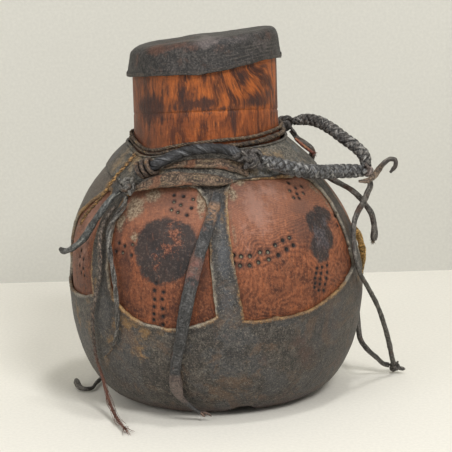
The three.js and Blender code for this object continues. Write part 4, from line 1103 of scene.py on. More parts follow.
turn = np.linspace(0, LASHING_TURNS, LASHING_TURNS * 150 + 1)
degrees = LASHING_START_DEGREES + 360 * turn
plaited = np.interp(turn, (0.7, 0.76, 0.97, 1.02), (0, 1, 1, 0))
from_front = (np.degrees(np.radians(degrees)) + 180) % 360 - 180
heights = LASHING_HEIGHT + LASHING_PITCH * turn - 0.9 * plaited
heights = heights - 5.2 * np.exp(-((from_front + 44) / 21) ** 2) + 2.6 * np.exp(-((from_front + 92) / 20) ** 2)
reach = neck_radius(heights - LASHING_DIAMETER) + 0.45 + LASHING_DIAMETER / 2 + 0.5 * plaited
winding = carved(round_points(reach, degrees, heights))
winding[:, 2] += LASHING_RISE_TO_RIGHT * winding[:, 0] + 0.25 * np.sin(turn * 23) + 0.2 * np.sin(turn * 51)
size = rounded_ends(winding, 1.5) * wandering(len(winding), 5, 0.05) * (1 + 0.45 * plaited)
lashing = tube_piece("twisted_neck_lashing", laid_strands(winding, 3, 0.72, 8.5, (1.5, 1.3), size, None, 7))


def cord_surface(name, dark, light, fleck=None):
    """Old twisted cord: fibres that run along each strand, dark between them and pale where they are rubbed."""
    surface = Leather(name, dark, light, "straight")
    fibres = surface.fibres(900, 4, 0.7, 0.1)
    surface.tinted((fibres, 0.52, 0.72, shaded(light, 1.9), 0.6), (fibres, 0.44, 0.3, shaded(dark, 0.4), 0.7))
    if fleck:
        surface.tinted((surface.noise(140, 4, 0.7), 0.56, 0.64, fleck, 0.7))
    return surface.done(0.55, 0.0004, 0.9)


brown_cord = cord_surface("brown_twisted_cord", (48, 38, 32), (96, 80, 64), (124, 98, 62))
dressed(lashing, brown_cord, "brown_cord", "vessel", "neck_lashing")

# The leather cap: one piece of dark leather moulded wet over the slanted rim, with low ridges near its lower edge
# and a narrow strip sewn round the edge. It lifts off.
LID_THICKNESS = 2.6
LID_ROUNDING = 7
LID_TAPER = 1.5
LID_PLAY = 0.3
CAP_SPREAD = 0.5
LID_STEPS_ROUND = 300
# How far the lower edge stands off its level line, by degrees round.
LID_EDGE = [(-180, 1), (-120, 0.6), (-81, 0), (-61, 1.6), (-43, 2.2), (-22, 1.9), (-4, 0.2), (10, 0.6), (23, 1.0),
            (35, 1.6), (50, 1.9), (64, 0.6), (80, -1.8), (110, -2.2), (145, -0.4), (180, 1)]

inner = NECK_RADIUS + LID_PLAY
outer = inner + LID_THICKNESS
underside = RIM_HEIGHT + FIT_GAP
top = underside + LID_THICKNESS
corner = np.linspace(math.pi / 2, 0, 12)
shoulder_reach = outer - LID_TAPER - LID_ROUNDING * (1 - np.sin(corner))
shoulder = np.stack((shoulder_reach, top - LID_ROUNDING * (1 - np.cos(corner))), axis=1)
crown = ((0.5, top + 0.6), ((outer - LID_TAPER - LID_ROUNDING) * 0.5, top + 0.5))
outside = evenly(np.vstack((crown, shoulder[::-1], ((outer, SKIRT_HEIGHT),))), 1.1)
inside = np.array([(inner, SKIRT_HEIGHT), (inner, underside - 1.5), (inner - 1.5, underside), (0.5, underside)])
profile = np.vstack((outside, evenly(inside, 2.5)))
rows, columns = len(profile), LID_STEPS_ROUND
reach, degrees, heights = spun(profile, columns)


def cap_edge(degrees):
    """How far the cap's lower edge rises, and how far it flares, at some degrees round."""
    places, rises = np.array(LID_EDGE, float).T
    return np.interp(degrees, places, rises), 0.45 * np.exp(-((degrees + 78) / 22) ** 2)


rise, flare = cap_edge(degrees)
on_skirt = np.clip((underside - 1 - heights) / (underside - 1 - SKIRT_HEIGHT), 0, 1)
heights = heights + rise * on_skirt * 0.8
is_outside = np.repeat(np.arange(rows) < len(outside), columns)
above_edge = heights - SKIRT_HEIGHT - 0.8 * rise
right_side = np.clip((degrees - 5) / 25, 0, 1) * np.clip((100 - degrees) / 30, 0, 1)
ridge_wave = np.sin((above_edge + 0.3 * np.sin(np.radians(degrees) * 7)) / 2.3 * 2 * math.pi)
ridges = 0.38 * ridge_wave * np.clip(1.5 - np.abs(above_edge - 6.5) / 4.5, 0, 1) * (0.2 + 0.8 * right_side)
sag = 0.7 * np.sin(np.radians(degrees) * 5 + 1) + 0.5 * np.sin(np.radians(degrees) * 9 + 2.2)
dents = sag * np.clip(reach / outer, 0, 1) ** 6 * np.clip(above_edge / 14, 0, 1)
reach = reach + is_outside * (ridges + 0.3 * dents * (reach > 20))
reach = reach + (flare * on_skirt ** 3 + CAP_SPREAD * on_skirt ** 0.7) * is_outside
faces = ring_faces(rows, columns)[:, [0, 3, 2, 1]].tolist()
faces += [list(range(columns)), list(range((rows - 1) * columns, rows * columns))[::-1]]
angle = np.radians(degrees)
swell = 0.5 * np.sin(reach * 0.12 + 2 * np.sin(angle)) + 0.35 * np.sin(3 * angle + reach * 0.2)
swell = is_outside * (reach < outer - LID_TAPER - 1) * swell * np.clip(reach / 20, 0, 1)
cap = mesh_piece("moulded_leather_cap", carved(round_points(reach, degrees, heights + swell)), faces)
paint(cap, "skirt", np.where(is_outside, above_edge, 20))
paint(cap, "ridge", ridges * is_outside)
paint(cap, "crown", np.clip((outer - LID_TAPER - 2.5 - reach) / 3, -1, 1) * is_outside)
paint_spots(cap, degrees, heights, rust=[
    (-40, 246, 8, 3, 1.2), (-20, 247, 7, 2.5, 1.0), (-8, 245, 6, 3, 0.9), (12, 243, 5, 3, 0.6), (-62, 240, 5, 5, 0.7),
    (60, 244, 8, 3, 0.7), (150, 243, 12, 4, 1.0), (230, 243, 12, 4, 1.0),
], rubbed=[
    (4, 247, 9, 3, 1.3), (30, 246, 8, 2.5, 0.8), (-30, 234, 8, 2, 0.6), (50, 240, 7, 4, 0.7), (200, 246, 14, 4, 1.0),
])
roughened(cap, 0.5, 7, 0.7, 3)
smoothed(cap)
cap_leather = Leather("dark_cap_leather", (30, 27, 26), (54, 50, 48))
# Painted light and shade: the flat top, where the light falls, is tinted an even olive grey of its own.
cap_leather.tinted((cap_leather.painted("crown"), 0.0, 0.9, (46, 42, 38), 0.6))
cap_leather.stained("rust", (88, 54, 38), 0.65, 90)
# The rubbed spots are painted pale: partly wear, and partly a painted highlight on the crown.
cap_leather.stained("rubbed", (104, 94, 92), 0.65, 120)
# Painted highlight and shade on the ridges: paler along their tops, dark in the grooves between.
cap_leather.tinted(
    (cap_leather.painted("ridge"), 0.06, 0.3, (92, 86, 80), 0.5),
    (cap_leather.painted("ridge"), -0.06, -0.3, (18, 16, 15), 0.7),
    (cap_leather.noise(110, 5, 0.7), 0.56, 0.66, (66, 46, 36), 0.5),
    (cap_leather.painted("skirt"), 2.4, 0.4, (76, 65, 57), 0.5),
)
dressed(cap, cap_leather.done(0.44, 0.0004, 0.7), "cap_leather", "lid", "leather_cap")

# The hem's section, as distances outwards and up, and its 62 stitches.
HEM_SECTION = np.array([
    (0, 0.35), (0.5, 0), (0.9, 0.5), (1.0, 1.2), (0.95, 2.0), (1.0, 2.8), (0.7, 3.4), (0.3, 3.6), (0, 3.4),
])
HEM_STITCHES = 62

rows, columns = len(HEM_SECTION), 360
outward, degrees, heights = spun(HEM_SECTION, columns)
rise, flare = cap_edge(degrees)
stitch = 0.22 * np.clip(np.sin(np.radians(degrees) * HEM_STITCHES), 0, 1)
pull = stitch * np.exp(-((heights - 1.8) / 0.8) ** 2)
reach = outer + CAP_SPREAD * 0.95 + 0.3 * outward * (1 - pull) + flare
heights = SKIRT_HEIGHT + 0.62 * heights + rise * 0.8 + 0.15 * np.sin(np.radians(degrees) * 17)
faces = ring_faces(rows + 1, columns) % (rows * columns)
hem = mesh_piece("sewn_cap_hem", carved(round_points(reach, degrees, heights)), faces.tolist())
roughened(hem, 0.25, 3, 0.5, 3)
smoothed(hem)
hem_leather = Leather("worn_hem_leather", (29, 26, 25), (56, 50, 46))
hem_leather.tinted((hem_leather.noise(120, 4), 0.56, 0.68, (92, 78, 66), 0.5))
dressed(hem, hem_leather.done(0.4, 0.0004, 0.8), "cap_leather", "lid", "cap_hem")

# The carrying loop's rope: three strips of dark leather twisted hard into one, laid along the front of the neck's
# foot from the left shoulder to the front knot. A brown thong, wound three times, holds its left end.
ROPE_DIAMETER = 7.6
ROPE_ROUTE = [
    (-40, 7.6, 165.6), (-35.4, 9.2, 168.3), (-29.3, 11.6, 171.2), (-24.1, 13.8, 174.6), (-17.9, 14.4, 178),
    (-11.5, 13.2, 180.6), (-4.9, 12.2, 181.6), (5.3, 11.6, 181.6), (12, 11.6, 180.2),
]
KNOT_RADIUS = 6.2
TIP_TIE_RADIUS = 4.9
TETHER_KNOT_RADIUS = 4
FRONT_KNOT = (25.2, 14.7, 174.4)
REAR_KNOT = (113.5, 7.2, 182.4)
TIP_KNOT = (81.3, 34, 155)
LEFT_KNOT = (-39, 11.6, 158.4)
TETHER_KNOT = (99.6, 51.7, 5)
WRAP_DIAMETER = 2.4
WRAP_TURNS = 3
WRAP_PITCH = 4.2
WRAP_START_SHARE = 0.03

hide_outline = belly_outline(FIT_GAP + HIDE_THICKNESS, 9)[1:]


def over_hide(route):
    """Points over the hide, from degrees round, distance outside it and height."""
    degrees, outside, heights = np.array(route, float).reshape(-1, 3).T
    reach = np.interp(heights, hide_outline[:, 1], hide_outline[:, 0]) + outside
    return carved(round_points(reach, degrees, heights))


def beside_knot(centre, point, radius=KNOT_RADIUS):
    return centre + unit(point - centre) * (radius + FIT_GAP)


def tied_path(route, spacing, start=None, end=None, end_radius=KNOT_RADIUS):
    """A smooth line through places over the hide, that starts and ends beside a knot where one is given."""
    line = over_hide(route)
    first = [] if start is None else [beside_knot(start, line[0])]
    last = [] if end is None else [beside_knot(end, line[-1], end_radius)]
    return smooth_path(np.vstack((*first, line, *last)), spacing)


front_knot_place, rear_knot_place, tip_knot_place, left_knot_place, tether_knot_place = over_hide(
    [FRONT_KNOT, REAR_KNOT, TIP_KNOT, LEFT_KNOT, TETHER_KNOT])
rope_path = tied_path(ROPE_ROUTE, 0.7, None, front_knot_place)
size = rounded_ends(rope_path, 3, 0.5) * wandering(len(rope_path), 9, 0.035)
rope_strips = laid_strands(rope_path, 3, 1.95, 25, (4.6, 3.5), size, off_belly(rope_path), 14)
rope = tube_piece("twisted_loop_rope", rope_strips, (0.4, 1.6, 0.5, 2))
rope_leather = Leather("twisted_dark_leather", (22, 21, 22), (42, 42, 45), "straight")
fibres = rope_leather.fibres(700, 4, 0.65, 0.12)
rope_leather.tinted((fibres, 0.53, 0.66, (124, 125, 128), 0.6), (fibres, 0.42, 0.3, (20, 17, 16), 0.8))
dressed(rope, rope_leather.done(0.42, 0.0004, 0.9), "plaited_leather", "vessel", "loop_rope")

far = far_along(rope_path)
turn = np.linspace(0, WRAP_TURNS, WRAP_TURNS * 48 + 1)
stops = far[-1] * WRAP_START_SHARE + turn * WRAP_PITCH
centre = np.stack([np.interp(stops, far, rope_path[:, k]) for k in range(3)], axis=1)
along = unit(np.gradient(centre, axis=0))
aside = unit(np.cross((0.0, 0.0, 1.0), along))
lifted = np.cross(along, aside)
angle = 2 * math.pi * turn[:, None]
reach = ROPE_DIAMETER / 2 + 0.35 + WRAP_DIAMETER / 2
winding = centre + reach * (np.cos(angle) * aside + np.sin(angle) * lifted)
wrap_size = rounded_ends(winding, 1.4) * wandering(len(winding), 8, 0.07)
wrap = rings_along(winding, oval(3.0, WRAP_DIAMETER, 12, 0.8), wrap_size, winding - centre)
wrapping = tube_piece("brown_rope_wrapping", [wrap], (0.35, 1.6, 0.5, 2))
brown_thong = cord_surface("brown_wrapping_thong", (52, 40, 34), (92, 76, 63), (112, 82, 52))
dressed(wrapping, brown_thong, "brown_cord", "vessel", "rope_wrapping")

# The knots: the leather strips are tied and pulled hard at the front, at the neck's right and at the loop's tip,
# where the short ends stick out. Each is a strip passed twice round itself.
KNOT_UNEVENNESS = (0.45, 1.8, 0.5, 2)


def knot_tubes(centre, radius, strip, turns, phase=0.0, squash=(1, 1, 1)):
    """A tied strip: a closed line that passes round and through itself, within a radius of its middle."""
    t = np.linspace(0, 2 * math.pi, 150)
    loop = np.stack((
        (2 + np.cos(3 * t + phase)) * np.cos(2 * t),
        (2 + np.cos(3 * t + phase)) * np.sin(2 * t),
        1.5 * np.sin(3 * t + phase),
    ), axis=1) / 3
    turned = np.array(Matrix.Rotation(math.radians(turns[0]), 3, "X") @ Matrix.Rotation(math.radians(turns[1]), 3, "Z"))
    loop = (loop * np.array(squash)) @ turned.T * (radius - strip * 0.42)
    line = centre + loop
    size = wandering(len(line), 12, 0.08)
    size[-6:] = np.linspace(size[-6], size[0], 6)
    tubes = [rings_along(line, oval(strip, strip * 0.74, 12), size, loop)]
    core = np.linspace(-0.62, 0.62, 12)[:, None] * np.array((0.0, 0.0, radius)) @ turned.T + centre
    across = np.sqrt(np.clip(1 - np.linspace(-0.97, 0.97, 12) ** 2, 0.04, 1))
    tubes.append(rings_along(core, oval(radius * 1.1, radius * 1.1, 14), across))
    return tubes


def stub(start, way, length, strip, bend=(0, 0, 0), tip=0.35):
    """A short end that sticks out of a knot, cut off at a slant."""
    t = np.linspace(0, 1, max(8, int(length / 0.7)))[:, None]
    line = np.asarray(start) + unit(np.array(way, float)) * length * t + np.array(bend, float) * t ** 2
    size = np.interp(t[:, 0], (0, 0.1, 0.8, 1), (0.85, 1, 0.95, tip)) * wandering(len(line), 4, 0.06)
    return rings_along(line, oval(strip, strip * 0.62, 10, 0.85), size)


def lock_of_fibres(start, way, length, count, spread, thickness=0.34, wave=0.5):
    """Loose fibres that stand out of a torn end, each thin and waving."""
    tubes = []
    way = unit(np.array(way, float))
    for _ in range(count):
        away = unit(way + rng.normal(0, spread, 3))
        own = length * rng.uniform(0.45, 1)
        t = np.linspace(0, 1, 9)[:, None]
        bend = rng.normal(0, wave, 3)
        line = np.asarray(start) + rng.normal(0, 0.5, 3) + away * own * t + bend * np.sin(t * rng.uniform(2, 6)) * t
        tubes.append(rings_along(line, oval(thickness, thickness, 4), np.linspace(1, 0.35, 9)))
    return tubes


knot_leather = Leather("knotted_dark_leather", (44, 40, 38), (74, 69, 66), "straight")
fibres = knot_leather.fibres(620, 4, 0.65, 0.14)
knot_leather.tinted((fibres, 0.54, 0.7, (148, 142, 136), 0.6), (fibres, 0.42, 0.3, (24, 20, 18), 0.8))
knot_material = knot_leather.done(0.45, 0.0004, 0.9)

c = front_knot_place
tied_front = tube_piece("front_tied_knot", [
    *knot_tubes(c, KNOT_RADIUS + 1.6, 4.6, (62, 20)),
    *knot_tubes(c + np.array((-8.5, -0.5, 2.2)), 5.2, 3.6, (40, -15), 0.9),
    stub(c + np.array((-2.5, -2.5, 1.5)), (-0.7, -0.35, 0.75), 7.5, 3.2),
    stub(c + np.array((3, -3, -2)), (0.55, -0.3, -0.75), 6.5, 3.4),
    stub(c + np.array((-3, -2, -2)), (-0.35, -0.4, -0.8), 5.5, 3.0),
    *lock_of_fibres(c + np.array((-5, -4, 4)), (-0.6, -0.5, 0.8), 5, 9, 0.4, 0.3),
], KNOT_UNEVENNESS)
dressed(tied_front, knot_material, "plaited_leather", "vessel", "front_knot")
c = rear_knot_place
tied_rear = tube_piece("rear_tied_knot", [
    *knot_tubes(c, KNOT_RADIUS + 0.2, 4.2, (80, 65), 0.8),
    stub(c + np.array((-1.5, -4, -1)), (0.1, -0.45, -0.9), 9, 4.0, (1.5, 0, 0)),
    stub(c + np.array((3.5, -2, -2.5)), (0.6, -0.35, -0.75), 7.5, 3.4),
    stub(c + np.array((-3, -3, 1)), (-0.75, -0.6, 0.1), 6, 3.0),
], KNOT_UNEVENNESS)
dressed(tied_rear, knot_material, "plaited_leather", "vessel", "rear_knot")
c = tip_knot_place
tied_tip = tube_piece("loop_tip_tie", [
    *knot_tubes(c, TIP_TIE_RADIUS, 3.6, (30, 10), 1.6, (1, 1, 1.1)),
    stub(c + np.array((-2, -3, 0)), (-0.95, -0.3, -0.1), 9, 4.2, (0, 0, 0.5)),
    stub(c + np.array((1, -2, 2)), (-0.5, -0.2, 0.8), 4.5, 3.2),
], KNOT_UNEVENNESS)
pale_tie = cord_surface("pale_tie_thong", (64, 55, 52), (112, 100, 94), (60, 48, 41))
dressed(tied_tip, pale_tie, "brown_cord", "carry_loop", "loop_tip_knot")

# The loop itself: two round braids of four dark leather strips, one from the front knot and one from the rear
# knot, meeting at the tip. The tied end runs on past the tip as a hooked tail. The loop swings on its two knots.
BRAID_STRIP = (3.7, 1.6)
BRAID_STRIPS_EACH_WAY = 4
BRAID_REACH = 3.5
BRAID_RISE = 0.55
FRONT_BRAID_ROUTE = [
    (37.5, 13.2, 169.2), (44.4, 13.2, 165.6), (51.9, 13.7, 162.3), (61.3, 14.3, 159.5), (71.5, 17, 157.4),
]
REAR_BRAID_ROUTE = [
    (105.4, 19, 184.7), (99.5, 26.4, 183.7), (93.9, 34.3, 179.9), (89.4, 39.7, 175.4), (85.8, 41.6, 169.8),
    (83.6, 41.2, 164.6),
]
TAIL_DIAMETER = 3.6
TAIL_ROUTE = [
    (73.5, 26.6, 150.3), (75.6, 31.5, 150.2), (78, 37, 152.2), (80.3, 42.9, 156), (80.6, 51.4, 160.6),
    (80.9, 57.8, 163.1), (81.1, 60.5, 162.4), (81.1, 56.8, 158.5), (80.9, 48.8, 153.8),
]


def braid_tubes(line, pitch, size):
    """A round braid: half the strips wind one way and half the other, each passing over one and under the next."""
    _, out, aside = directions(line, off_belly(line))
    turn = 2 * math.pi * far_along(line) / pitch
    tubes, crests = [], []
    for way in (1, -1):
        for number in range(BRAID_STRIPS_EACH_WAY):
            angle = way * turn + number * 2 * math.pi / BRAID_STRIPS_EACH_WAY
            away = np.cos(angle)[:, None] * aside + np.sin(angle)[:, None] * out
            crest = way * np.cos(BRAID_STRIPS_EACH_WAY * turn)
            strip = line + away * ((BRAID_REACH + BRAID_RISE * crest) * size)[:, None]
            tubes.append(rings_along(strip, oval(*BRAID_STRIP, 12, 0.85), size * wandering(len(line), 11, 0.06), away))
            crests.append(np.repeat(crest, 12))
    return tubes, np.concatenate(crests)


def braid_piece(name, start, route, pitch, start_size, scale, pale, node):
    """A braid from a knot to the loop's tip. The crests of its strips are painted pale, partly as rubbed wear and
    partly as painted highlight, and the parts sunk between them are painted dark as shade.
    """
    line = tied_path(route, 0.5, start, tip_knot_place, TIP_TIE_RADIUS - 2)
    stops, sizes = (0, 0.1, 0.3, 0.9, 1), (start_size, 0.92, 1, 0.98, 0.8)
    size = scale * np.interp(np.arange(len(line)) / len(line), stops, sizes)
    tubes, crests = braid_tubes(line, pitch, size)
    piece = tube_piece(name, tubes, (0.3, 1.2, 0.5, 2))
    paint(piece, "crest", crests)
    leather = Leather(name + "_leather", (30, 28, 28), (58, 56, 55), "straight")
    crest = leather.painted("crest")
    fibres = leather.fibres(620, 4, 0.65, 0.14)
    # Painted highlight on the crests, in patches, and painted shade where the strips pass under.
    leather.tinted(
        (crest, 0.3, 0.9, pale, 0.85, leather.between(leather.mottle, 0.42, 0.56)),
        (fibres, 0.52, 0.66, (170, 168, 164), 0.65),
        (fibres, 0.44, 0.32, (22, 19, 18), 0.8),
        (crest, -0.3, -0.9, (16, 14, 13), 0.8),
    )
    dressed(piece, leather.done(0.4, 0.0004, 0.9), "plaited_leather", "carry_loop", node)


def sized(path, sizes, every=7, amount=0.05):
    """How far along a path each point lies, as a share, and its size there with a little chance variation."""
    share = np.linspace(0, 1, len(path))
    return share, np.interp(share, *zip(*sizes)) * wandering(len(path), every, amount)


braid_piece(
    "plaited_front_braid", front_knot_place, FRONT_BRAID_ROUTE, 21, 0.75, 1.06, (104, 105, 107), "loop_front_braid")
braid_piece(
    "plaited_rear_braid", rear_knot_place, REAR_BRAID_ROUTE, 19, 0.6, 0.94, (104, 98, 92), "loop_rear_braid")
tail_path = smooth_path(over_hide(TAIL_ROUTE), 0.6)
sizes = [(0, 0.5), (0.1, 0.95), (0.3, 1.2), (0.45, 1.25), (0.56, 0.95), (0.66, 0.9), (0.92, 0.85), (1, 0.5)]
share, size = sized(tail_path, sizes, 6, 0.06)
tail_rings = rings_along(tail_path, oval(TAIL_DIAMETER, TAIL_DIAMETER * 0.85, 14), size)
tail = tube_piece("hooked_tail", [tail_rings], (0.5, 2, 0.5, 2))
paint(tail, "dark_end", np.repeat(share, 14))
tail_leather = Leather("tail_leather", (54, 44, 37), (98, 81, 65), "straight")
tail_leather.tinted(
    (tail_leather.painted("dark_end"), 0.5, 0.58, (52, 48, 46), 0.9),
    (tail_leather.fibres(800, 3, 0.6, 0.15), 0.54, 0.66, (150, 144, 134), 0.5),
)
dressed(tail, tail_leather.done(0.45, 0.0004, 0.8), "brown_cord", "carry_loop", "loop_tip_tail")

# The front thong: a broad flat strip of grey leather, doubled at the top under the yoke's roll. It runs down the front
# from the strap to the floor, folds over once near its end, and ends in a narrow claw.
FRONT_THONG_WIDTH = 9.5
FRONT_THONG_THICKNESS = 3.2
FRONT_THONG_ROUTE = [
    (4.5, 4, 154.5), (3.5, 3, 150.7), (0.5, 2.5, 140.1), (-3.1, 2.4, 126.7), (-6.3, 2.4, 113.1), (-9.3, 2.4, 95.1),
    (-11.9, 2.5, 75.1), (-13.9, 2.6, 57.6), (-15.9, 2.8, 45.1), (-17.1, 3.2, 31.8), (-16.6, 4, 20.4), (-13, 5.5, 12.4),
    (-7.9, 8, 5.4),
]


def thong_surface(name, dark, light, rust=None, pale=None):
    """Grey leather thong: long scratches and creases along it, pebbled, with rubbed pale spots."""
    surface = Leather(name, dark, light, "straight")
    streaks = surface.fibres(430, 5, 0.7, 0.11)
    surface.tinted(
        (streaks, 0.53, 0.68, pale or shaded(light, 2.2), 0.6),
        (streaks, 0.43, 0.3, shaded(dark, 0.4), 0.7),
    )
    if rust:
        surface.tinted((surface.noise(70, 4, 0.65), 0.56, 0.66, rust, 0.65))
    return surface


path = smooth_path(over_hide(FRONT_THONG_ROUTE), 0.9)
share = np.linspace(0, 1, len(path))
width = np.interp(share, (0, 0.05, 0.2, 0.32, 0.45, 0.62, 0.74, 0.765, 0.8, 0.85, 0.88, 0.93, 0.985, 1),
                  (0.72, 0.8, 0.86, 0.98, 1.0, 0.86, 0.74, 0.74, 1.0, 0.98, 0.72, 0.5, 0.36, 0.18))
thick = np.interp(share, (0, 0.1, 0.3, 0.74, 0.765, 0.86, 0.9, 1), (0.8, 0.9, 1, 0.85, 1.25, 1.2, 1.0, 0.6))
section = oval(FRONT_THONG_WIDTH, FRONT_THONG_THICKNESS, 28, 0.8)
sections = section[None] * np.stack((width, thick), axis=1)[:, None]
off_crease = section[None, :, 0] / FRONT_THONG_WIDTH * 2 - 0.25 - 0.3 * np.sin(share * 9)[:, None]
crease = 0.45 * np.exp(-(off_crease / 0.16) ** 2)
crease = crease * (section[None, :, 1] > 0) * np.interp(share, (0, 0.05, 0.4, 0.7, 1), (1, 1, 0.8, 0.5, 0.3))[:, None]
sections[..., 1] -= crease
lean = np.interp(share, (0, 0.3, 0.6, 0.8, 0.9, 1), (0, 8, -4, 6, 25, 60))
rings = rings_along(path, sections, wandering(len(path), 6, 0.03), off_belly(path), lean)
front_thong = tube_piece("front_flat_thong", [rings], (0.6, 4, 0.6, 3))
paint(front_thong, "share", np.repeat(share, 28))
claw = tube_piece("front_thong_claw", [
    stub(path[-3], (0.85, -0.25, 0.35), 7, 2.3, (1.0, 0, -5.0), 0.3),
    stub(path[-4], (0.6, -0.35, -0.5), 4.5, 2.4, (0.5, 0, -0.3), 0.4),
    *lock_of_fibres(path[-2], (0.5, -0.4, -0.4), 3.5, 8, 0.4, 0.4),
])
grey_front = thong_surface("grey_front_thong", (39, 38, 37), (63, 62, 62))
place = grey_front.painted("share")
foot, strap_end, rub = (
    grey_front.times(grey_front.between(place, *start), grey_front.between(place, *end))
    for start, end in (((0.755, 0.775), (0.93, 0.88)), ((0.03, 0.06), (0.15, 0.1)), ((0.26, 0.3), (0.4, 0.35))))
grey_front.tinted(
    (grey_front.fibres(60, 4, 0.6, 0.5), 0.56, 0.64, (112, 74, 58), 0.5),
    (grey_front.fine, 0.3, 0.5, (112, 96, 88), 0.7, foot),
    (grey_front.fibres(150, 5, 0.7, 0.4), 0.5, 0.42, (52, 40, 36), 0.8, foot),
    (grey_front.noise(300, 5, 0.7), 0.38, 0.52, (138, 104, 76), 0.75, strap_end),
    (grey_front.noise(260, 5, 0.7), 0.45, 0.6, (118, 76, 66), 0.7, rub),
)
dressed(front_thong, grey_front.done(0.4, 0.0005, 0.9), "grey_thong", "vessel", "front_thong")
claw_material = thong_surface("brown_claw_thong", (60, 46, 40), (104, 84, 74)).done(0.5, 0.0004, 0.8)
dressed(claw, claw_material, "grey_thong", "vessel")

# The left thongs: from one knot at the left of the yoke hang a fat grey stub that stands off to the left and a flat
# thong of twisted strips. Beside it a long dark braid frays into red-brown fibres, with a knobbly ochre cord above.
LEFT_STUB_DIAMETER = 5.2
LEFT_STUB_ROUTE = [
    (-47.4, 7.4, 149.6), (-49.5, 7.5, 142.7), (-52.1, 7, 135.8), (-55, 5.4, 129.4), (-58.6, 4.4, 121.8),
    (-63.2, 4.4, 115.5), (-68.4, 5.2, 110.8), (-71.8, 7.6, 108.6), (-74, 9.6, 109.6),
]
LEFT_FLAT_ROUTE = [
    (-40.6, 3.2, 146.4), (-43.6, 2, 138.3), (-45.2, 2, 130.9), (-44.9, 2, 123.7), (-42.8, 2, 114.4), (-40.2, 2, 99.9),
    (-39.2, 2, 84.7), (-39.3, 2, 71), (-40.6, 2.1, 60.1), (-43.5, 2.3, 50.6),
]
LEFT_BRAID_ROUTE = [
    (-45.6, 2.7, 144.5), (-48, 2.6, 140), (-49.6, 2.6, 133.7), (-49.8, 2.6, 125.7), (-49, 2.6, 118.5), (-48, 2.5, 111),
    (-47.6, 2.5, 103.4), (-48, 2.5, 95.5), (-50, 2.8, 84), (-52.6, 2.8, 72.6), (-54, 2.9, 56), (-55.7, 3.2, 39),
    (-56, 4.5, 24), (-50.6, 14, 12), (-41.4, 31.4, 4.6), (-31.5, 50.5, 2.4),
]
SHOULDER_CORD_ROUTE = [
    (-52.4, 5.2, 175.2), (-52.6, 5.2, 170.5), (-53.6, 5.4, 164), (-54.6, 5.8, 157.1), (-57.5, 3.4, 149.3),
    (-61.4, 1.9, 143), (-64.8, 1.8, 137.2), (-67, 1.8, 132.2), (-68.5, 1.8, 126.9),
]

c = left_knot_place
tied_left = tube_piece("left_tied_knot", [
    *knot_tubes(c, KNOT_RADIUS + 0.2, 4.0, (55, -30), 0.4),
    stub(c + np.array((2, -2.5, 2.5)), (0.5, -0.2, 0.85), 4.5, 2.8),
    stub(c + np.array((-3, -1, 2)), (-0.6, 0.1, 0.8), 4.5, 2.6),
    stub(c + np.array((1, -4, -2)), (0.3, -0.3, -0.9), 4, 2.6),
], KNOT_UNEVENNESS)
grey_left = thong_surface("grey_left_thongs", (54, 50, 47), (92, 89, 84), (86, 62, 46)).done(0.45, 0.0005, 0.9)
dressed(tied_left, grey_left, "grey_thong", "vessel", "left_knot")

path = tied_path(LEFT_STUB_ROUTE, 0.8, c)
sizes = [(0, 0.7), (0.08, 0.8), (0.45, 1), (0.8, 0.86), (0.9, 0.72), (0.96, 0.85), (1, 0.55)]
share, size = sized(path, sizes)
section = oval(LEFT_STUB_DIAMETER * 1.08, LEFT_STUB_DIAMETER * 0.86, 20, 0.9)
rings = rings_along(path, section, size, off_belly(path), 14 * np.sin(share * 9))
stub_thong = tube_piece("left_grey_stub", [rings], (0.6, 2.6, 0.6, 3))
paint(stub_thong, "share", np.repeat(share, 20))
grey_stub = thong_surface("pale_grey_stub_thong", (52, 53, 53), (84, 85, 84), None, (160, 160, 154))
grey_stub.tinted((grey_stub.painted("share"), 0.86, 0.97, (50, 46, 42), 0.8))
dressed(stub_thong, grey_stub.done(0.5, 0.0005, 0.9), "grey_thong", "vessel", "left_stub_thong")

path = tied_path(LEFT_FLAT_ROUTE, 0.8, c)
share, size = sized(path, [(0, 0.9), (0.05, 1.05), (0.55, 0.95), (0.9, 0.85), (1, 0.45)])
tubes = laid_strands(path, 2, 0.95, 30, (2.5, 2.0), size, off_belly(path), 10)
flat_thong = tube_piece("left_twisted_strips", tubes, (0.4, 1.6, 0.5, 2))
tip_hairs = tube_piece("left_strip_end", [
    stub(path[-2], path[-1] - path[-6], 12, 1.5, (-3.5, 0.6, 1.0), 0.3),
    *lock_of_fibres(path[-2], path[-1] - path[-6], 7, 7, 0.25, 0.35),
])
dressed(flat_thong, grey_left, "grey_thong", "vessel", "left_flat_thong")
dressed(tip_hairs, brown_cord, "grey_thong", "vessel")

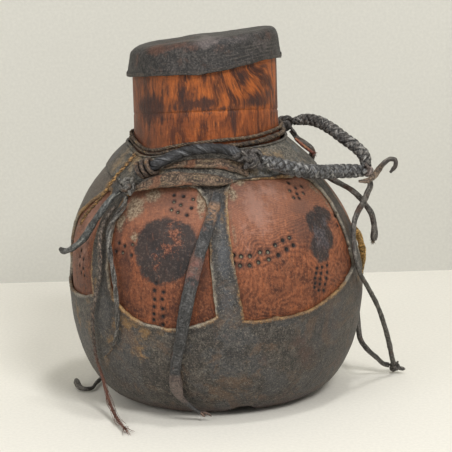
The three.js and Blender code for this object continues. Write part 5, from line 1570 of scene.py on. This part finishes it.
path = smooth_path(over_hide(LEFT_BRAID_ROUTE), 0.7)
share = np.linspace(0, 1, len(path))
far = share * np.linalg.norm(np.diff(path, axis=0), axis=1).sum()
_, out, aside = directions(path, off_belly(path))
size = np.interp(share, (0, 0.03, 0.4, 0.62, 0.75, 0.86, 0.93, 1), (0.6, 1, 1, 0.9, 0.72, 0.85, 1.15, 1.1))
tubes = []
for number in range(3):
    turn = 2 * math.pi * (far / 9.5 + number / 3)
    strand = path + aside * (1.05 * size * np.sin(turn))[:, None] + out * (0.5 * size * np.sin(2 * turn))[:, None]
    thickness = size * np.interp(share, (0, 0.7, 0.82, 1), (1, 0.95, 0.55, 0.3)) * wandering(len(path), 8, 0.08)
    tubes.append(rings_along(strand, oval(1.75, 1.35, 8), thickness, out))
loose = path[share > 0.6]
for number in range(26):
    start = int(rng.uniform(0, 0.45) * len(loose))
    end = int(rng.uniform(0.75, 1) * len(loose))
    part = loose[start:end]
    t = np.linspace(0, 1, len(part))[:, None]
    way = rng.normal(0, 1, 3) * (1.0, 1.0, 0.5)
    waver = 0.3 * np.sin(t * rng.uniform(8, 20) + rng.uniform(0, 6)) * rng.normal(0, 1, 3)
    drift = way * (0.55 + 1.0 * t ** 1.5) + waver
    fibre = part + drift * np.interp(t, (0, 0.15), (0.2, 1))
    fibre[:, 2] = np.maximum(fibre[:, 2], 0.4)
    tubes.append(rings_along(fibre, oval(0.5, 0.42, 4), np.linspace(1, 0.5, len(part))))
frayed_braid = tube_piece("left_fraying_braid", tubes)


def off_floor(piece, least):
    """Lifts what would lie lower than a height, in millimetres, up to it."""
    points = points_of(piece)
    points[:, 2] = np.maximum(points[:, 2], least)
    set_points(piece, points)


end_way = unit(path[-1] - path[-8]) * (1, 1, 0.2)
hairs = tube_piece("left_braid_hairs", lock_of_fibres(path[-4], end_way, 13, 30, 0.2, 0.34, 0.8))
off_floor(hairs, 0.25)
braid_share = share[nearest(points_of(frayed_braid), path, 3000)[1]]
paint(frayed_braid, "share", braid_share)
braid_surface = thong_surface("fraying_braid", (52, 44, 39), (92, 83, 75))
braid_surface.tinted(
    (braid_surface.painted("share"), 0.5, 0.72, (104, 62, 48), 0.85),
    (braid_surface.fibres(500, 4, 0.7, 0.1), 0.55, 0.66, (150, 120, 100), 0.4),
)
dressed(frayed_braid, braid_surface.done(0.6, 0.0003, 0.8), "brown_cord", "vessel", "left_frayed_cord")
dressed(hairs, cord_surface("red_brown_fibres", (84, 50, 40), (134, 88, 68)), "brown_cord", "vessel")

path = smooth_path(over_hide(SHOULDER_CORD_ROUTE), 0.5)
share = np.linspace(0, 1, len(path))
knobs = 1 + 0.22 * np.sin(share * 95) * np.interp(share, (0, 0.1, 1), (0.3, 1, 0.7))
tubes = laid_strands(path, 2, 0.55, 7, (1.4, 1.2), knobs * rounded_ends(path, 1.2), off_belly(path), 8)
for number in range(40):
    at = path[int(rng.uniform(0.02, 0.98) * len(path))]
    tubes += lock_of_fibres(at, off_belly(at), 2.0, 2, 0.9, 0.36, 0.5)
shoulder_cord = tube_piece("knobbly_shoulder_cord", tubes)
ochre_cord = cord_surface("ochre_brown_cord", (84, 64, 44), (138, 106, 66), (168, 128, 62))
dressed(shoulder_cord, ochre_cord, "brown_cord", "vessel", "shoulder_cord")

# The right thongs: under the yoke's edge starts a stiff stub with a fuzzy end. From the loop's tip a tether hangs to a
# knot on the floor, where a second thong joins it that comes down the back from the rear knot.
RIGHT_STUB_ROUTE = [
    (87, 0.4, 153.5), (86.9, 1.8, 149.5), (86.9, 5.4, 145), (87, 9.8, 140.5), (87.2, 12.3, 135.2), (87.3, 13.5, 128.7),
    (87.4, 14.3, 122.2), (87.4, 12.8, 115.1), (87.4, 11.5, 109.4), (87.4, 9.3, 103.7),
]
TETHER_ROUTE = [
    (79.4, 28.5, 145.5), (78.8, 23, 140.5), (77.9, 16.5, 134.5), (77, 9.5, 128.5), (75.2, 4.6, 122.5), (69.9, 2.8, 115),
    (66.1, 2.6, 103), (67.2, 3, 91), (75.9, 5, 75), (84.4, 11.2, 58), (90, 19.5, 41), (93.8, 29.7, 25),
    (96.2, 38.5, 14.5),
]
REAR_RIGHT_ROUTE = [
    (109, 8.8, 172.5), (105.6, 9.2, 169), (106.5, 9.4, 165.5), (110.5, 9, 161.5), (117.2, 6.5, 155.5), (123, 3.6, 146),
    (125, 3.2, 134), (124, 3.2, 120), (122, 3.2, 104), (118, 3.2, 86), (113, 3.2, 68), (107, 3.4, 52), (101, 5, 38),
    (99.5, 10, 27), (99.8, 20, 18.5), (99.9, 31, 12.2), (99.7, 40.5, 7.6),
]
REAR_LEFT_ROUTE = [
    (-129, 2.5, 153.5), (-127, 2.3, 142), (-124, 2.2, 124), (-121, 2.2, 100), (-120, 2.2, 80), (-120, 2.2, 60),
    (-121, 2.4, 42), (-121, 4, 26), (-118, 8, 12), (-112, 13, 4.5), (-104, 17, 2.6), (-96, 18.4, 2.4), (-90, 19.9, 2.2),
    (-88, 20.9, 2.3), (-87.2, 23.6, 2.5), (-88, 26.4, 2.9), (-90, 27.5, 3.3), (-93, 27.6, 4.1), (-96.6, 27.4, 5.0),
]


def thong_piece(name, path, width, thickness, sizes, material, node, twist=25.0, body="vessel"):
    """A single thong: an oval strip that widens and narrows along its line."""
    share, size = sized(path, sizes)
    turning = twist * np.sin(share * 7 + 1)
    rings = rings_along(path, oval(width, thickness, 18, 0.88), size, None, turning)
    piece = tube_piece(name, [rings], (0.5, 2.4, 0.58, 3))
    paint(piece, "share", np.repeat(share, 18))
    dressed(piece, material, "grey_thong", body, node)
    return piece


right_grey = thong_surface("grey_right_thongs", (54, 49, 45), (88, 84, 79), (82, 56, 42)).done(0.45, 0.0005, 0.9)
path = smooth_path(over_hide(RIGHT_STUB_ROUTE), 0.8)
sizes = [(0, 0.8), (0.1, 1), (0.5, 0.95), (0.85, 1.0), (0.97, 1.25), (1, 1.0)]
right_stub = thong_piece("right_stiff_stub", path, 5.2, 4.2, sizes, right_grey, "right_stub_thong", 20)
fuzz = tube_piece("right_stub_fuzz", [
    *lock_of_fibres(path[-1], path[-1] - path[-5], 3.0, 34, 0.5, 0.5, 0.7),
    *lock_of_fibres(path[7], off_belly(path[7]), 3.0, 26, 0.8, 0.4, 0.7),
    stub(path[3], (0.9, -0.2, 0.45), 8, 3.2, (1, 0, 2.0), 0.35),
    stub(path[5], (0.95, -0.3, 0.1), 6, 2.6, (1, 0, 1.5), 0.3),
])
dressed(fuzz, cord_surface("pale_fuzzy_end", (92, 82, 70), (150, 138, 120)), "grey_thong", "vessel")

tether_path = tied_path(TETHER_ROUTE, 0.8, tip_knot_place, tether_knot_place, TETHER_KNOT_RADIUS)
sizes = [(0, 0.9), (0.1, 0.95), (0.4, 0.85), (0.9, 1), (1, 0.9)]
tether = thong_piece("tip_tether_thong", tether_path, 5.0, 3.6, sizes, right_grey, "tip_tether", body=None)
c = tether_knot_place
tied_tether = tube_piece("tether_end_knot", [
    *knot_tubes(c, TETHER_KNOT_RADIUS + 0.2, 2.9, (70, 0), 0.2),
    stub(c + np.array((1.5, -1, -0.5)), (0.8, -0.3, -0.12), 6.5, 3.2),
    stub(c + np.array((0.5, -1.5, 1.5)), (0.4, -0.4, 0.6), 4.5, 2.8),
])
off_floor(tied_tether, 0.3)
roughened(tied_tether, 0.3, 1.6, 0.8, 2)
dressed(tied_tether, right_grey, "grey_thong", "vessel", "tether_knot")
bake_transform(tether)

path = tied_path(REAR_RIGHT_ROUTE, 0.8, rear_knot_place, tether_knot_place, TETHER_KNOT_RADIUS)
sizes = [(0, 0.85), (0.1, 1), (0.9, 1), (1, 0.9)]
rear_right = thong_piece("rear_right_long_thong", path, 5.2, 3.8, sizes, right_grey, "rear_right_thong")
path = smooth_path(over_hide(REAR_LEFT_ROUTE), 0.8)
sizes = [(0, 0.8), (0.05, 1), (0.78, 0.8), (0.88, 0.7), (0.94, 1.15), (0.98, 1.35), (1, 0.8)]
rear_left = thong_piece("rear_left_long_thong", path, 3.6, 2.7, sizes, right_grey, "rear_left_thong")

# The frayed tab: a short torn tongue of red-brown leather that hangs under the rear knot, over the yoke. A second torn
# tongue of hide stands up against the wood at the right, left from the strap that was cut away there.
FRAYED_TAB_ROUTE = [(99.5, 6, 174.5), (98.7, 5.7, 171.8), (98, 5.6, 169), (97.2, 5.7, 166.4), (96.6, 6.2, 164)]
FRAYED_TAB_WIDTH = 8.4
FRAYED_TAB_THICKNESS = 2.6
TONGUE_ROUTE = [(82.4, -1.4, 80), (83, -0.8, 89), (83.6, 0.0, 96), (84.2, 0.4, 102), (84.8, 0.2, 108), (85, -0.4, 115)]

path = smooth_path(over_hide(FRAYED_TAB_ROUTE), 0.6)
share, size = sized(path, [(0, 0.7), (0.15, 1), (0.6, 0.95), (1, 0.62)], 4, 0.14)
tab = tube_piece("torn_leather_tab", [
    rings_along(path, oval(FRAYED_TAB_WIDTH, FRAYED_TAB_THICKNESS, 16, 0.75), size, off_belly(path)),
    *lock_of_fibres(path[-2], path[-1] - path[-5], 3.2, 26, 0.3, 0.55, 0.8),
    *lock_of_fibres(path[4], off_belly(path[4]), 2.2, 16, 0.5, 0.5, 0.8),
], (0.5, 2, 0.5, 2))
tab_material = cord_surface("red_brown_torn_leather", (76, 38, 32), (122, 70, 54), (150, 110, 70))
dressed(tab, tab_material, "brown_cord", "vessel", "frayed_tab")
path = smooth_path(over_hide(TONGUE_ROUTE), 0.7)
share, size = sized(path, [(0, 1), (0.2, 1), (0.55, 0.85), (0.8, 0.6), (0.92, 0.42), (1, 0.2)], 4, 0.1)
tongue = tube_piece("torn_hide_tongue", [
    rings_along(path, oval(8.6, 2.0, 20, 0.75), size, off_belly(path), np.interp(share, (0, 0.3, 1), (0, 40, 66))),
    *lock_of_fibres(path[-3], path[-1] - path[-5], 4, 12, 0.3, 0.36, 0.5),
], (0.5, 2.2, 0.5, 2))
tongue_leather = Leather("ochre_torn_hide", (112, 90, 54), (176, 142, 82), "straight")
tongue_leather.tinted(
    (tongue_leather.fibres(90, 3, 0.6, 0.3), 0.52, 0.6, (76, 76, 76), 0.7),
    (tongue_leather.fibres(500, 4, 0.7, 0.12), 0.54, 0.66, (176, 156, 116), 0.6),
)
dressed(tongue, tongue_leather.done(0.6, 0.0005, 0.9), "hide", "vessel")
